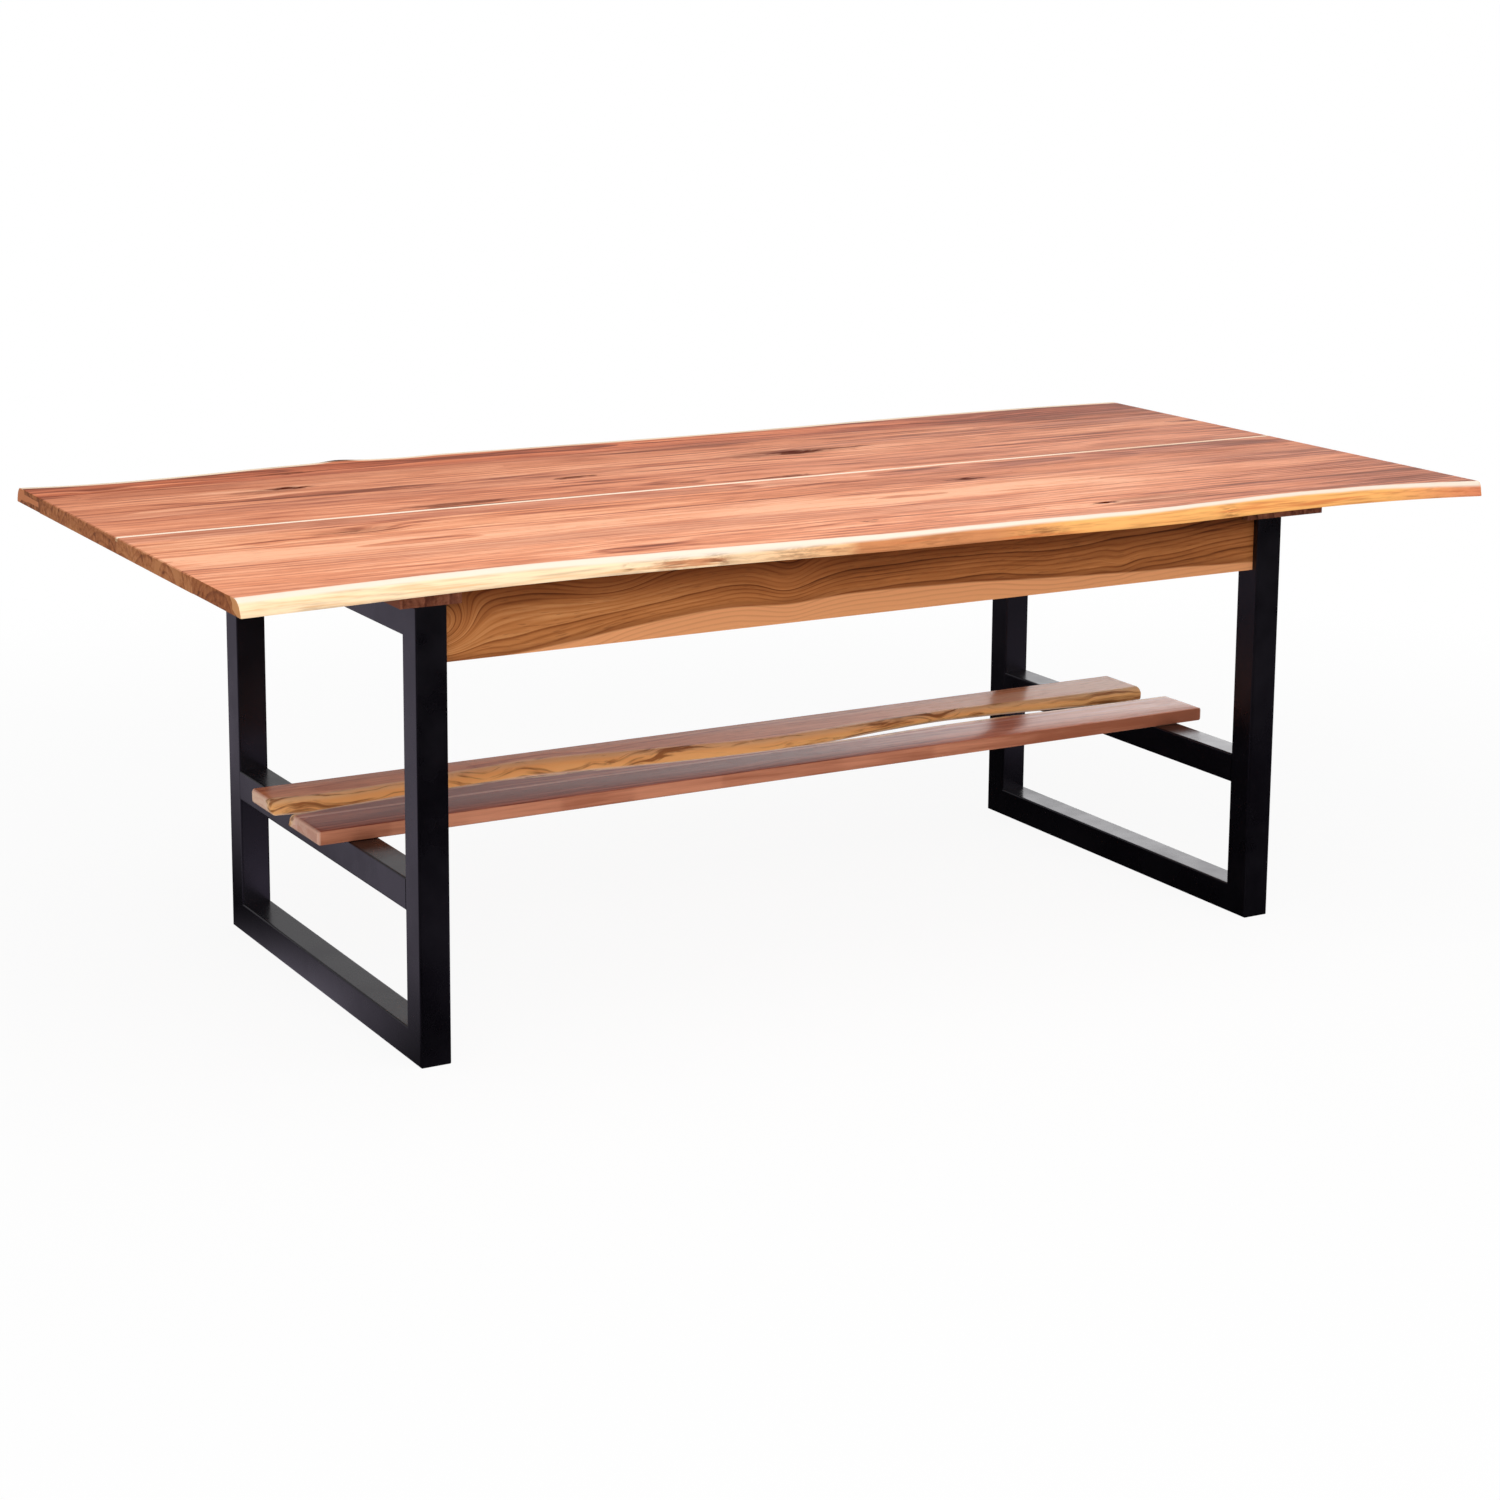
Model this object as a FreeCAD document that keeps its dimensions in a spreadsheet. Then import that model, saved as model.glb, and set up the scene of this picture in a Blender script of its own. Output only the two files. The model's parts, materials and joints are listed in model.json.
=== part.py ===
import FreeCAD, Part
import math
import os
import re
import Sketcher
from FreeCAD import Placement, Rotation, Vector

# Live edge dining table: a board-built walnut top with natural long edges, two closed
# square-tube end frames, wooden cleats and aprons under the top, and a two-board shelf.
# +X runs along the table, +Y to the back, +Z up; the origin is on the floor under the middle.

doc = FreeCAD.newDocument("live_edge_dining_table")
dims = doc.addObject("Spreadsheet::Sheet", "dims")
sizes = {
    # Top panel
    "top_length": 2212,
    "top_width": 1100,
    "top_height": 762,
    "top_thick": 25,
    "end_ease": 1.5,
    "inlay_y": 22,
    "inlay_width": 10,
    "inlay_depth": 6,
    # Board widths; the inner back board and the third front board take the rest of the top
    "back_second_width": 152,
    "back_third_width": 75,
    "back_edge_width": 140,
    "front_inner_width": 64,
    "front_second_width": 100,
    "front_edge_width": 237,
    # End frames of square steel tube
    "tube": 50,
    "tube_wall": 3,
    "tube_corner": 3.5,
    "mid_rail_top": 282,
    # From the ends and sides of the top in to the frames' middle lines and outer faces
    "end_overhang": 332,
    "side_overhang": 154,
    # Cleats between frames and top
    "cleat_thick": 35,
    "cleat_lip": 24,
    "right_cleat_reach": 87,
    # Aprons
    "apron_thick": 22,
    "apron_drop": 124,
    "apron_setback": 12,
    "notch_gap": 1,
    # Shelf boards
    "shelf_overhang": 77,
    "shelf_thick": 23,
    "shelf_back": 155,
    "shelf_front": 131,
    "back_shelf_rim": 45,
    "front_shelf_rim": 14,
    # Fasteners: shank and head sizes, and the room left around and beyond each shank
    "shank_gap": 0.4,
    "tip_gap": 1,
    "screw_dia": 5,
    "screw_head": 10,
    "screw_head_high": 3,
    "cleat_screw_long": 48,
    "cleat_screw_inset": 34,
    "bolt_dia": 8,
    "bolt_head": 13,
    "bolt_head_high": 5.5,
    "bolt_into_cleat": 26,
    "bolt_pitch": 250,
    "shelf_screw_bite": 15,
    "shelf_screw_inset": 26,
    "shelf_screw_pitch": 36,
    "bracket_leg": 40,
    "bracket_sheet": 3,
    "bracket_long": 45,
    "bracket_pitch": 500,
    "bracket_screw_long": 16,
    # How far a cutting shape runs past the piece that it cuts
    "overcut": 20,
}
for row, (alias, number) in enumerate(sizes.items(), 1):
    dims.set("A%d" % row, alias)
    dims.set("B%d" % row, str(number))
    dims.setAlias("B%d" % row, alias)
doc.recompute()

# Places worked out from the sizes
places = {
    "frame_x": "(top_length / 2 - end_overhang)",
    "frame_y": "(top_width / 2 - side_overhang)",
    "top_low": "(top_height - top_thick)",
    "frame_top": "(top_low - cleat_thick)",
    "mid_rail_low": "(mid_rail_top - tube)",
    "back_joint_3": "(top_width / 2 - back_edge_width)",
    "back_joint_2": "(back_joint_3 - back_third_width)",
    "back_joint_1": "(back_joint_2 - back_second_width)",
    "front_joint_1": "(inlay_y - front_inner_width)",
    "front_joint_2": "(front_joint_1 - front_second_width)",
    "front_joint_3": "(-top_width / 2 + front_edge_width)",
    "apron_inside": "(frame_y - apron_setback - apron_thick)",
    "shelf_length": "(2 * frame_x + 2 * shelf_overhang)",
}
size_word = re.compile(r"\b(%s)\b" % "|".join(sizes))
place_word = re.compile(r"\b(%s)\b" % "|".join(places))


def meaning(text):
    while place_word.search(text):
        text = place_word.sub(lambda found: places[found.group(1)], text)
    return size_word.sub(r"dims.\1", text)


def value(text):
    return float(dims.evalExpression(meaning(text)))


def bind(thing, prop, text):
    thing.setExpression(prop, meaning(text))


def put(thing, x, y, z, turn=None):
    if turn is not None:
        thing.Placement = Placement(Vector(0, 0, 0), turn)
    bind(thing, "Placement.Base.x", x)
    bind(thing, "Placement.Base.y", y)
    bind(thing, "Placement.Base.z", z)
    return thing


def box(name, long, wide, high, x, y, z, turn=None):
    thing = doc.addObject("Part::Box", name)
    bind(thing, "Length", long)
    bind(thing, "Width", wide)
    bind(thing, "Height", high)
    return put(thing, x, y, z, turn)


def rod(name, radius, high, x, y, z, turn=None):
    thing = doc.addObject("Part::Cylinder", name)
    bind(thing, "Radius", radius)
    bind(thing, "Height", high)
    return put(thing, x, y, z, turn)


def group(name, things):
    thing = doc.addObject("Part::Compound", name)
    thing.Links = things
    return thing


def cut(label, base, tools):
    thing = doc.addObject("Part::Cut", label)
    thing.Base = base
    thing.Tool = group(label + "_tools", tools)
    return thing


nodes = []


def node(thing, label):
    thing.Label = label
    nodes.append(thing)
    return thing


UP = Rotation()
TO_FRONT = Rotation(Vector(1, 0, 0), 90)
TO_BACK = Rotation(Vector(1, 0, 0), -90)

# Fasteners. Each one is a head and a shank on one axis, seated at x, y, z, with the
# matching clearance hole kept as a cutting tool for every piece that it goes through.
count = 0


def fastener(x, y, z, kind, long, turn=UP, hexagon=False):
    global count
    count += 1
    tag = "%s_%d" % (kind, count)
    dia, wide, high = ("bolt_dia", "bolt_head", "bolt_head_high")
    if not hexagon:
        dia, wide, high = ("screw_dia", "screw_head", "screw_head_high")
    axis = turn.multVec(Vector(0, 0, 1))

    def along(offset):
        return [
            "%s + %d * (%s)" % (base, round(part), offset)
            for base, part in zip((x, y, z), (axis.x, axis.y, axis.z))
        ]

    if hexagon:
        head = doc.addObject("Part::Prism", tag + "_head")
        head.Polygon = 6
        bind(head, "Circumradius", wide + " / 2 / cos(30 deg)")
        bind(head, "Height", high)
        put(head, *along("-" + high), turn)
    else:
        head = rod(tag + "_head", wide + " / 2", high, *along("-" + high), turn)
    shank = rod(tag + "_shank", dia + " / 2", long + " + " + high, *along("-" + high), turn)
    whole = doc.addObject("Part::Fuse", tag)
    whole.Base = head
    whole.Tool = shank
    hole = rod(
        tag + "_hole", dia + " / 2 + shank_gap", long + " + 2 * tip_gap", *along("-tip_gap"), turn)
    return whole, hole


# Cleat screws, six along each cleat, some outside and some inside the tube below
SCREW_ROWS = ((-1, "+"), (-0.6, "-"), (-0.2, "+"), (0.2, "+"), (0.6, "-"), (1, "+"))
board_holes = []
cleat_holes = {"left": [], "right": []}
cleat_screws = []
for side, sign in (("left", "-"), ("right", "")):
    for share, step in SCREW_ROWS:
        x = "%s(frame_x %s (tube + cleat_lip) / 2)" % (sign, step)
        y = "%.1f * (frame_y - cleat_screw_inset)" % share
        screw, hole = fastener(x, y, "frame_top", "cleat_screw", "cleat_screw_long")
        cleat_screws.append(screw)
        cleat_holes[side].append(hole)
        board_holes.append(hole)

# Frame bolts, up through each top rail into its cleat
frame_bolts = []
rail_holes = {"left": [], "right": []}
for side, sign in (("left", "-"), ("right", "")):
    for place in ("-bolt_pitch", "0", "bolt_pitch"):
        bolt, hole = fastener(
            sign + "frame_x", place, "frame_top - tube",
            "frame_bolt", "(tube + bolt_into_cleat)", UP, True)
        frame_bolts.append(bolt)
        rail_holes[side].append(hole)
        cleat_holes[side].append(hole)

# Shelf screws, up through each middle rail into the shelf boards
shelf_screws = []
shelf_holes = {"back": [], "front": []}
mid_holes = {"left": [], "right": []}
for side, sign in (("left", "-"), ("right", "")):
    for board, edge, inward in (("back", "shelf_back", "-"), ("front", "-shelf_front", "+")):
        for extra in ("", " %s shelf_screw_pitch" % inward):
            y = "%s %s shelf_screw_inset%s" % (edge, inward, extra)
            screw, hole = fastener(
                sign + "frame_x", y, "mid_rail_low",
                "shelf_screw", "(tube + shelf_screw_bite)")
            shelf_screws.append(screw)
            shelf_holes[board].append(hole)
            mid_holes[side].append(hole)

# Angle brackets in the corner between each apron and the top, with two screws each
brackets = []
bracket_screws = []
apron_holes = {"front": [], "back": []}
for edge, sign, turn in (("front", "-", TO_FRONT), ("back", "", TO_BACK)):
    for place in ("-bracket_pitch", "0", "bracket_pitch"):
        tag = "bracket_%d" % (len(brackets) + 1)
        near = sign + "apron_inside"
        inner = sign + "(apron_inside - bracket_leg)"
        low_y = near if edge == "front" else inner
        stand_y = near if edge == "front" else "%s - bracket_sheet" % near
        x = "%s - bracket_long / 2" % place
        flat = box(
            tag + "_flat", "bracket_long", "bracket_leg", "bracket_sheet",
            x, low_y, "top_low - bracket_sheet")
        stand = box(
            tag + "_stand", "bracket_long", "bracket_sheet", "bracket_leg",
            x, stand_y, "top_low - bracket_leg")
        angle = doc.addObject("Part::Fuse", tag + "_angle")
        angle.Base = flat
        angle.Tool = stand
        middle = sign + "(apron_inside - bracket_leg * 0.4)"
        screw_up, hole_up = fastener(
            place + " + bracket_long / 4", middle, "top_low - bracket_sheet",
            "bracket_screw", "bracket_screw_long")
        screw_in, hole_in = fastener(
            place + " - bracket_long / 4", sign + "(apron_inside - bracket_sheet)",
            "top_low - bracket_leg * 0.6", "bracket_screw", "bracket_screw_long", turn)
        brackets.append(cut(tag, angle, [hole_up, hole_in]))
        bracket_screws += [screw_up, screw_in]
        board_holes.append(hole_up)
        apron_holes[edge].append(hole_in)

# Eased arris along both ends of the top and of the shelf: a square bar turned to 45 degrees,
# one of whose lower faces lies on the eased plane
def end_bars(tag, length, width, y, z):
    bars = []
    for name, x in (
        ("left", "-(%s) / 2 + end_ease / 2 - 3 * sqrt(2) * end_ease"),
        ("right", "(%s) / 2 - end_ease / 2 - sqrt(2) * end_ease"),
    ):
        bars.append(box(
            "%s_%s_bar" % (tag, name), "end_ease * 4", width, "end_ease * 4",
            x % length, y, z + " - end_ease / 2 + sqrt(2) * end_ease",
            Rotation(Vector(0, 1, 0), 45)))
    return bars


top_bars = end_bars(
    "top", "top_length", "top_width + 2 * overcut", "-top_width / 2 - overcut", "top_height")
shelf_bars = end_bars(
    "shelf", "shelf_length", "shelf_back + shelf_front + 2 * overcut", "-shelf_front - overcut",
    "(mid_rail_top + shelf_thick)")
top_tools = board_holes + top_bars


# Natural edges. The rim is the line on the upper face, given by how far it lies inside the
# straight edge line at even stations along the board; the flare is how far the foot of the
# edge stands out beyond the rim. The edge is rounded over from rim to foot.
LEVELS = ((-0.06, 1.0), (0.12, 1.0), (0.45, 0.86), (0.8, 0.5), (1.0, 0.0), (1.06, -0.2))


def natural_edge(label, length, thick, low, back, line, outward, rims, flares):
    long = value(length + " + overcut")
    high = value(thick)
    last = len(rims) - 1
    wires = []
    for level, share in LEVELS:
        points = []
        for i in range(last + 1):
            x = -long / 2 + long * i / last
            y = outward * (line - rims[i] + share * flares[i])
            points.append(Vector(x, y, level * high))
        curve = Part.BSplineCurve()
        curve.interpolate(points)
        start = Vector(-long / 2, back, level * high)
        end = Vector(long / 2, back, level * high)
        wires.append(Part.Wire([
            Part.makeLine(start, points[0]),
            curve.toShape(),
            Part.makeLine(points[-1], end),
            Part.makeLine(end, start),
        ]))
    thing = doc.addObject("Part::Feature", label + "_edge")
    thing.Shape = Part.makeLoft(wires, True, False)
    thing.Placement = Placement(Vector(0, 0, value(low)), UP)
    return thing


def edge_board(label, blank, edge, tools):
    both = doc.addObject("Part::Common", label + "_board")
    both.Base = blank
    both.Tool = edge
    return node(cut(label, both, tools), label)


# Top boards
def stave(label, low_y, high_y, tools=()):
    blank = box(
        label + "_blank", "top_length", "%s - %s" % (high_y, low_y), "top_thick",
        "-top_length / 2", low_y, "top_low")
    return node(cut(label, blank, top_tools + list(tools)), label)


inlay_groove = box(
    "inlay_groove", "top_length + 2 * overcut", "inlay_width", "inlay_depth + overcut",
    "-top_length / 2 - overcut", "inlay_y - inlay_width / 2", "top_height - inlay_depth")
stave("back_inner_stave", "inlay_y", "back_joint_1", [inlay_groove])
stave("back_second_stave", "back_joint_1", "back_joint_2")
stave("back_third_stave", "back_joint_2", "back_joint_3")
stave("front_inner_stave", "front_joint_1", "inlay_y", [inlay_groove])
stave("front_second_stave", "front_joint_2", "front_joint_1")
stave("front_third_stave", "front_joint_3", "front_joint_2")

half_width = value("top_width / 2")
front_rims = [66, 87, 97, 89, 73, 60, 56, 48, 62, 55, 5]
front_flares = [22, 26, 22, 16, 13, 15, 16, 20, 23, 18, 8]
back_rims = [28, 50, 25, 19, 29, 35, 38, 31, 26, 27, 42]
back_flares = [14, 17, 16, 19, 17, 15, 16, 17, 16, 15, 16]
front_edge = natural_edge(
    "front_edge_stave", "top_length", "top_thick", "top_low", 0, half_width, -1,
    front_rims, front_flares)
back_edge = natural_edge(
    "back_edge_stave", "top_length", "top_thick", "top_low", 0, half_width, 1,
    back_rims, back_flares)
front_blank = box(
    "front_edge_blank", "top_length", "front_edge_width", "top_thick",
    "-top_length / 2", "-top_width / 2", "top_low")
back_blank = box(
    "back_edge_blank", "top_length", "back_edge_width", "top_thick",
    "-top_length / 2", "back_joint_3", "top_low")
edge_board("front_edge_stave", front_blank, front_edge, top_tools)
edge_board("back_edge_stave", back_blank, back_edge, top_tools)

inlay = box(
    "centre_inlay_blank", "top_length", "inlay_width", "inlay_depth",
    "-top_length / 2", "inlay_y - inlay_width / 2", "top_height - inlay_depth")
node(cut("centre_inlay", inlay, top_bars), "centre_inlay")

# Cleats, flush with the front and back of the frames
for side, x, wide in (
    ("left", "-frame_x - tube / 2 - cleat_lip", "tube + 2 * cleat_lip"),
    ("right", "frame_x - tube / 2 - cleat_lip", "tube + cleat_lip + right_cleat_reach"),
):
    label = side + "_cleat"
    blank = box(
        label + "_blank", wide, "2 * frame_y", "cleat_thick", x, "-frame_y", "frame_top")
    node(cut(label, blank, cleat_holes[side]), label)

# Aprons between the uprights, notched at both upper corners to clear the cleats
for edge, y in (
    ("front", "-frame_y + apron_setback"),
    ("back", "apron_inside"),
):
    label = edge + "_apron"
    blank = box(
        label + "_blank", "2 * frame_x - tube", "apron_thick", "apron_drop",
        "-frame_x + tube / 2", y, "top_low - apron_drop")
    notches = []
    for side, x in (
        ("left", "-frame_x + tube / 2 - notch_gap"),
        ("right", "frame_x - tube / 2 - cleat_lip - notch_gap"),
    ):
        notches.append(box(
            "%s_%s_notch" % (label, side), "cleat_lip + 2 * notch_gap", "apron_thick + 2 * overcut",
            "cleat_thick + notch_gap + overcut", x, y + " - overcut", "frame_top - notch_gap"))
    node(cut(label, blank, notches + apron_holes[edge]), label)


# Frame tubes
def tube_body(label, long):
    body = doc.addObject("PartDesign::Body", label)
    sketch = body.newObject("Sketcher::SketchObject", label + "_section")
    plane = [f for f in body.Origin.OriginFeatures if f.Role == "XY_Plane"][0]
    sketch.AttachmentSupport = [(plane, "")]
    sketch.MapMode = "FlatFace"
    half = value("tube") / 2
    corner = value("tube_corner")
    flat = half - corner
    hollow = half - value("tube_wall")
    quarter = math.pi / 2
    normal = Vector(0, 0, 1)

    def line(x1, y1, x2, y2):
        return sketch.addGeometry(Part.LineSegment(Vector(x1, y1, 0), Vector(x2, y2, 0)))

    def arc(x, y, turns):
        circle = Part.Circle(Vector(x, y, 0), normal, corner)
        return sketch.addGeometry(Part.ArcOfCircle(circle, turns * quarter, (turns + 1) * quarter))

    outer = [
        line(-flat, -half, flat, -half), arc(flat, -flat, 3),
        line(half, -flat, half, flat), arc(flat, flat, 0),
        line(flat, half, -flat, half), arc(-flat, flat, 1),
        line(-half, flat, -half, -flat), arc(-flat, -flat, 2),
    ]
    for i, one in enumerate(outer):
        sketch.addConstraint(Sketcher.Constraint("Tangent", one, 2, outer[(i + 1) % 8], 1))
    for i in (0, 4):
        sketch.addConstraint(Sketcher.Constraint("Horizontal", outer[i]))
        sketch.addConstraint(Sketcher.Constraint("Vertical", outer[i + 2]))
    for i in (3, 5, 7):
        sketch.addConstraint(Sketcher.Constraint("Equal", outer[1], outer[i]))
    sketch.addConstraint(Sketcher.Constraint("Symmetric", outer[1], 3, outer[5], 3, -1, 1))
    inner = [
        line(-hollow, -hollow, hollow, -hollow), line(hollow, -hollow, hollow, hollow),
        line(hollow, hollow, -hollow, hollow), line(-hollow, hollow, -hollow, -hollow),
    ]
    for i, one in enumerate(inner):
        sketch.addConstraint(Sketcher.Constraint("Coincident", one, 2, inner[(i + 1) % 4], 1))
    for i in (0, 2):
        sketch.addConstraint(Sketcher.Constraint("Horizontal", inner[i]))
        sketch.addConstraint(Sketcher.Constraint("Vertical", inner[i + 1]))
    sketch.addConstraint(Sketcher.Constraint("Symmetric", inner[0], 1, inner[2], 1, -1, 1))
    for name, a, b, text, kind in (
        ("outside_x", outer[6], outer[2], "tube", "DistanceX"),
        ("outside_y", outer[0], outer[4], "tube", "DistanceY"),
        ("hollow_x", inner[3], inner[1], "tube - 2 * tube_wall", "DistanceX"),
        ("hollow_y", inner[0], inner[2], "tube - 2 * tube_wall", "DistanceY"),
    ):
        index = sketch.addConstraint(Sketcher.Constraint(kind, a, 1, b, 1, value(text)))
        sketch.renameConstraint(index, name)
        bind(sketch, "Constraints." + name, text)
    index = sketch.addConstraint(Sketcher.Constraint("Radius", outer[1], corner))
    sketch.renameConstraint(index, "corner")
    bind(sketch, "Constraints.corner", "tube_corner")
    pad = body.newObject("PartDesign::Pad", label + "_pad")
    pad.Profile = sketch
    bind(pad, "Length", long)
    return body


# Mitre tools: a bar turned to 45 degrees on each side of a corner's mitre plane


def mitre_tool(tag, x, corner_y, corner_z, angle, under):
    dy = 1 if abs(angle) < 90 else -1
    dz = 1 if angle > 0 else -1
    y = "%s - %d * sqrt(0.5) * tube" % (corner_y, dy)
    z = "%s - %d * sqrt(0.5) * tube" % (corner_z, dz)
    if under:
        y += " + %d * sqrt(2) * tube" % dz
        z += " - %d * sqrt(2) * tube" % dy
    return box(
        tag, "tube * 2", "tube * 4", "tube * 2", x + " - tube", y, z,
        Rotation(Vector(1, 0, 0), angle))


ALONG_Y = Rotation(Vector(1, 0, 0), -90)
for side, x in (("left", "-frame_x"), ("right", "frame_x")):
    front = "-frame_y"
    back = "frame_y"
    corners = {
        "front_low": (front, "0", 45, True),
        "back_low": (back, "0", 135, False),
        "front_high": (front, "frame_top", -45, False),
        "back_high": (back, "frame_top", -135, True),
    }
    upright_tools = {}
    rail_tools = {}
    for name, (y, z, angle, upright_under) in corners.items():
        tag = "%s_%s_mitre" % (side, name)
        upright_tools[name] = mitre_tool(tag + "_upright", x, y, z, angle, upright_under)
        rail_tools[name] = mitre_tool(tag + "_rail", x, y, z, angle, not upright_under)
    for name, y in (("front", front + " + tube / 2"), ("back", back + " - tube / 2")):
        label = "%s_%s_upright" % (side, name)
        body = put(tube_body(label + "_tube", "frame_top"), x, y, "0")
        node(cut(label, body, [upright_tools[name + "_low"], upright_tools[name + "_high"]]), label)
    for name, z in (("bottom", "tube / 2"), ("top", "frame_top - tube / 2")):
        label = "%s_%s_rail" % (side, name)
        body = put(tube_body(label + "_tube", "2 * frame_y"), x, front, z, ALONG_Y)
        end = "_low" if name == "bottom" else "_high"
        tools = [rail_tools["front" + end], rail_tools["back" + end]]
        if name == "top":
            tools += rail_holes[side]
        node(cut(label, body, tools), label)
    label = side + "_mid_rail"
    body = put(
        tube_body(label + "_tube", "2 * frame_y - 2 * tube"), x, front + " + tube",
        "mid_rail_top - tube / 2", ALONG_Y)
    node(cut(label, body, mid_holes[side]), label)

# Shelf boards, natural edges facing each other across a gap
back_shelf_rims = [33, 25, 50, 35, 0, 5, 20, 11, 10]
back_shelf_flares = [17, 18, 20, 18, 16, 18, 20, 18, 16]
front_shelf_rims = [33, 9, 0, 24, 38, 36, 29, 36, 39]
front_shelf_flares = [16, 17, 16, 15, 16, 17, 15, 16, 16]
back_shelf_edge = natural_edge(
    "back_shelf_board", "shelf_length", "shelf_thick", "mid_rail_top",
    value("shelf_back + overcut"), value("-back_shelf_rim"), -1,
    back_shelf_rims, back_shelf_flares)
front_shelf_edge = natural_edge(
    "front_shelf_board", "shelf_length", "shelf_thick", "mid_rail_top",
    value("-shelf_front - overcut"), value("front_shelf_rim"), 1,
    front_shelf_rims, front_shelf_flares)
back_shelf_blank = box(
    "back_shelf_blank", "shelf_length", "shelf_back - back_shelf_rim + 2 * overcut", "shelf_thick",
    "-shelf_length / 2", "back_shelf_rim - 2 * overcut", "mid_rail_top")
front_shelf_blank = box(
    "front_shelf_blank", "shelf_length", "shelf_front + front_shelf_rim + 2 * overcut",
    "shelf_thick",
    "-shelf_length / 2", "-shelf_front", "mid_rail_top")
edge_board("back_shelf_board", back_shelf_blank, back_shelf_edge, shelf_holes["back"] + shelf_bars)
edge_board("front_shelf_board", front_shelf_blank, front_shelf_edge, shelf_holes["front"] + shelf_bars)

# Fastener groups
node(group("cleat_screws", cleat_screws), "cleat_screws")
node(group("frame_bolts", frame_bolts), "frame_bolts")
node(group("shelf_screws", shelf_screws), "shelf_screws")
node(group("apron_brackets", brackets), "apron_brackets")
node(group("bracket_screws", bracket_screws), "bracket_screws")

doc.recompute()
for thing in doc.Objects:
    if "Invalid" in thing.State or "Error" in thing.State:
        raise RuntimeError("%s failed: %s" % (thing.Label, thing.State))
for thing in nodes:
    if thing.Shape.isNull() or not thing.Shape.isValid() or not thing.Shape.Solids:
        raise RuntimeError("%s has no valid solid" % thing.Label)

os.makedirs("parts", exist_ok=True)
for thing in nodes:
    thing.Shape.exportStep("parts/%s.step" % thing.Label)
    room = thing.Shape.optimalBoundingBox()
    print("%-20s solids %2d  x %8.1f %8.1f  y %8.1f %8.1f  z %7.1f %7.1f" % (
        thing.Label, len(thing.Shape.Solids),
        room.XMin, room.XMax, room.YMin, room.YMax, room.ZMin, room.ZMax))
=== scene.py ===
import json
import math

import bpy
from mathutils import Matrix, Vector, noise

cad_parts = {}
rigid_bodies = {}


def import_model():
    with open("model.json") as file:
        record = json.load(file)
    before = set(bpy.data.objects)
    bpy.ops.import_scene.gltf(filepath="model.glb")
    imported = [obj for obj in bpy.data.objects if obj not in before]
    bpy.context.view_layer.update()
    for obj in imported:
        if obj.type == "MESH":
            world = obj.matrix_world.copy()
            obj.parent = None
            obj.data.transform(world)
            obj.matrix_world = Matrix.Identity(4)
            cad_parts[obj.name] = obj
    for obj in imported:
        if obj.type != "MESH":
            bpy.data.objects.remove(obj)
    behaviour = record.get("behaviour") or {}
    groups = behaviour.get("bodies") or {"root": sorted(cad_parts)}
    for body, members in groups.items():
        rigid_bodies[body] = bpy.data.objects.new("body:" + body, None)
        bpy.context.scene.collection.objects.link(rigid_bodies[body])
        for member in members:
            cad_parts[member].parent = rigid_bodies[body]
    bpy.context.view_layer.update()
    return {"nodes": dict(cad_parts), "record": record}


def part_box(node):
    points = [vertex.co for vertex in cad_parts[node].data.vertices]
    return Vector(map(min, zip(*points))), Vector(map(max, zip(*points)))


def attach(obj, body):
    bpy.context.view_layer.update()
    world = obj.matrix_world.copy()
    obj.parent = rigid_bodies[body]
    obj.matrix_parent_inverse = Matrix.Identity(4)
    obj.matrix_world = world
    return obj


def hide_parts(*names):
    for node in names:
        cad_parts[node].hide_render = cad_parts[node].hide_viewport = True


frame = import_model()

print("frame loaded:", len(frame["nodes"]), "CAD nodes")


def paint(red, green, blue):  # a colour as a picture shows it, 0 to 255, made linear
    linear = []
    for shade in (red, green, blue):
        shade /= 255
        linear.append(shade / 12.92 if shade <= 0.04045 else ((shade + 0.055) / 1.055) ** 2.4)
    return (*linear, 1)


# Short ways to add shader nodes. A value is a number or another node's output.
def feed(tree, socket, value):
    if isinstance(value, bpy.types.NodeSocket):
        tree.links.new(value, socket)
    else:
        socket.default_value = value


def calc(tree, operation, *values, clamp=False):
    node = tree.nodes.new("ShaderNodeMath")
    node.operation = operation
    node.use_clamp = clamp
    for i, value in enumerate(values):
        feed(tree, node.inputs[i], value)
    return node.outputs[0]


def calcVector(tree, operation, *values, out=0):
    node = tree.nodes.new("ShaderNodeVectorMath")
    node.operation = operation
    for i, value in enumerate(values):
        feed(tree, node.inputs[i], value)
    return node.outputs[out]


def blend(tree, share, first, second, mode="MIX"):
    node = tree.nodes.new("ShaderNodeMix")
    node.data_type = "RGBA"
    node.blend_type = mode
    feed(tree, node.inputs[0], share)
    feed(tree, node.inputs[6], first)
    feed(tree, node.inputs[7], second)
    return node.outputs[2]


def ranged(tree, value, fromLow, fromHigh, toLow=0.0, toHigh=1.0, ease="SMOOTHSTEP"):
    node = tree.nodes.new("ShaderNodeMapRange")
    node.interpolation_type = ease
    feed(tree, node.inputs[0], value)
    for i, limit in enumerate((fromLow, fromHigh, toLow, toHigh)):
        node.inputs[1 + i].default_value = limit
    return node.outputs[0]


def ramp(tree, value, stops):
    node = tree.nodes.new("ShaderNodeValToRGB")
    feed(tree, node.inputs[0], value)
    band = node.color_ramp
    while len(band.elements) < len(stops):
        band.elements.new(0.5)
    for element, (place, colour) in zip(band.elements, stops):
        element.position = place
        element.color = colour
    return node.outputs[0]


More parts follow.
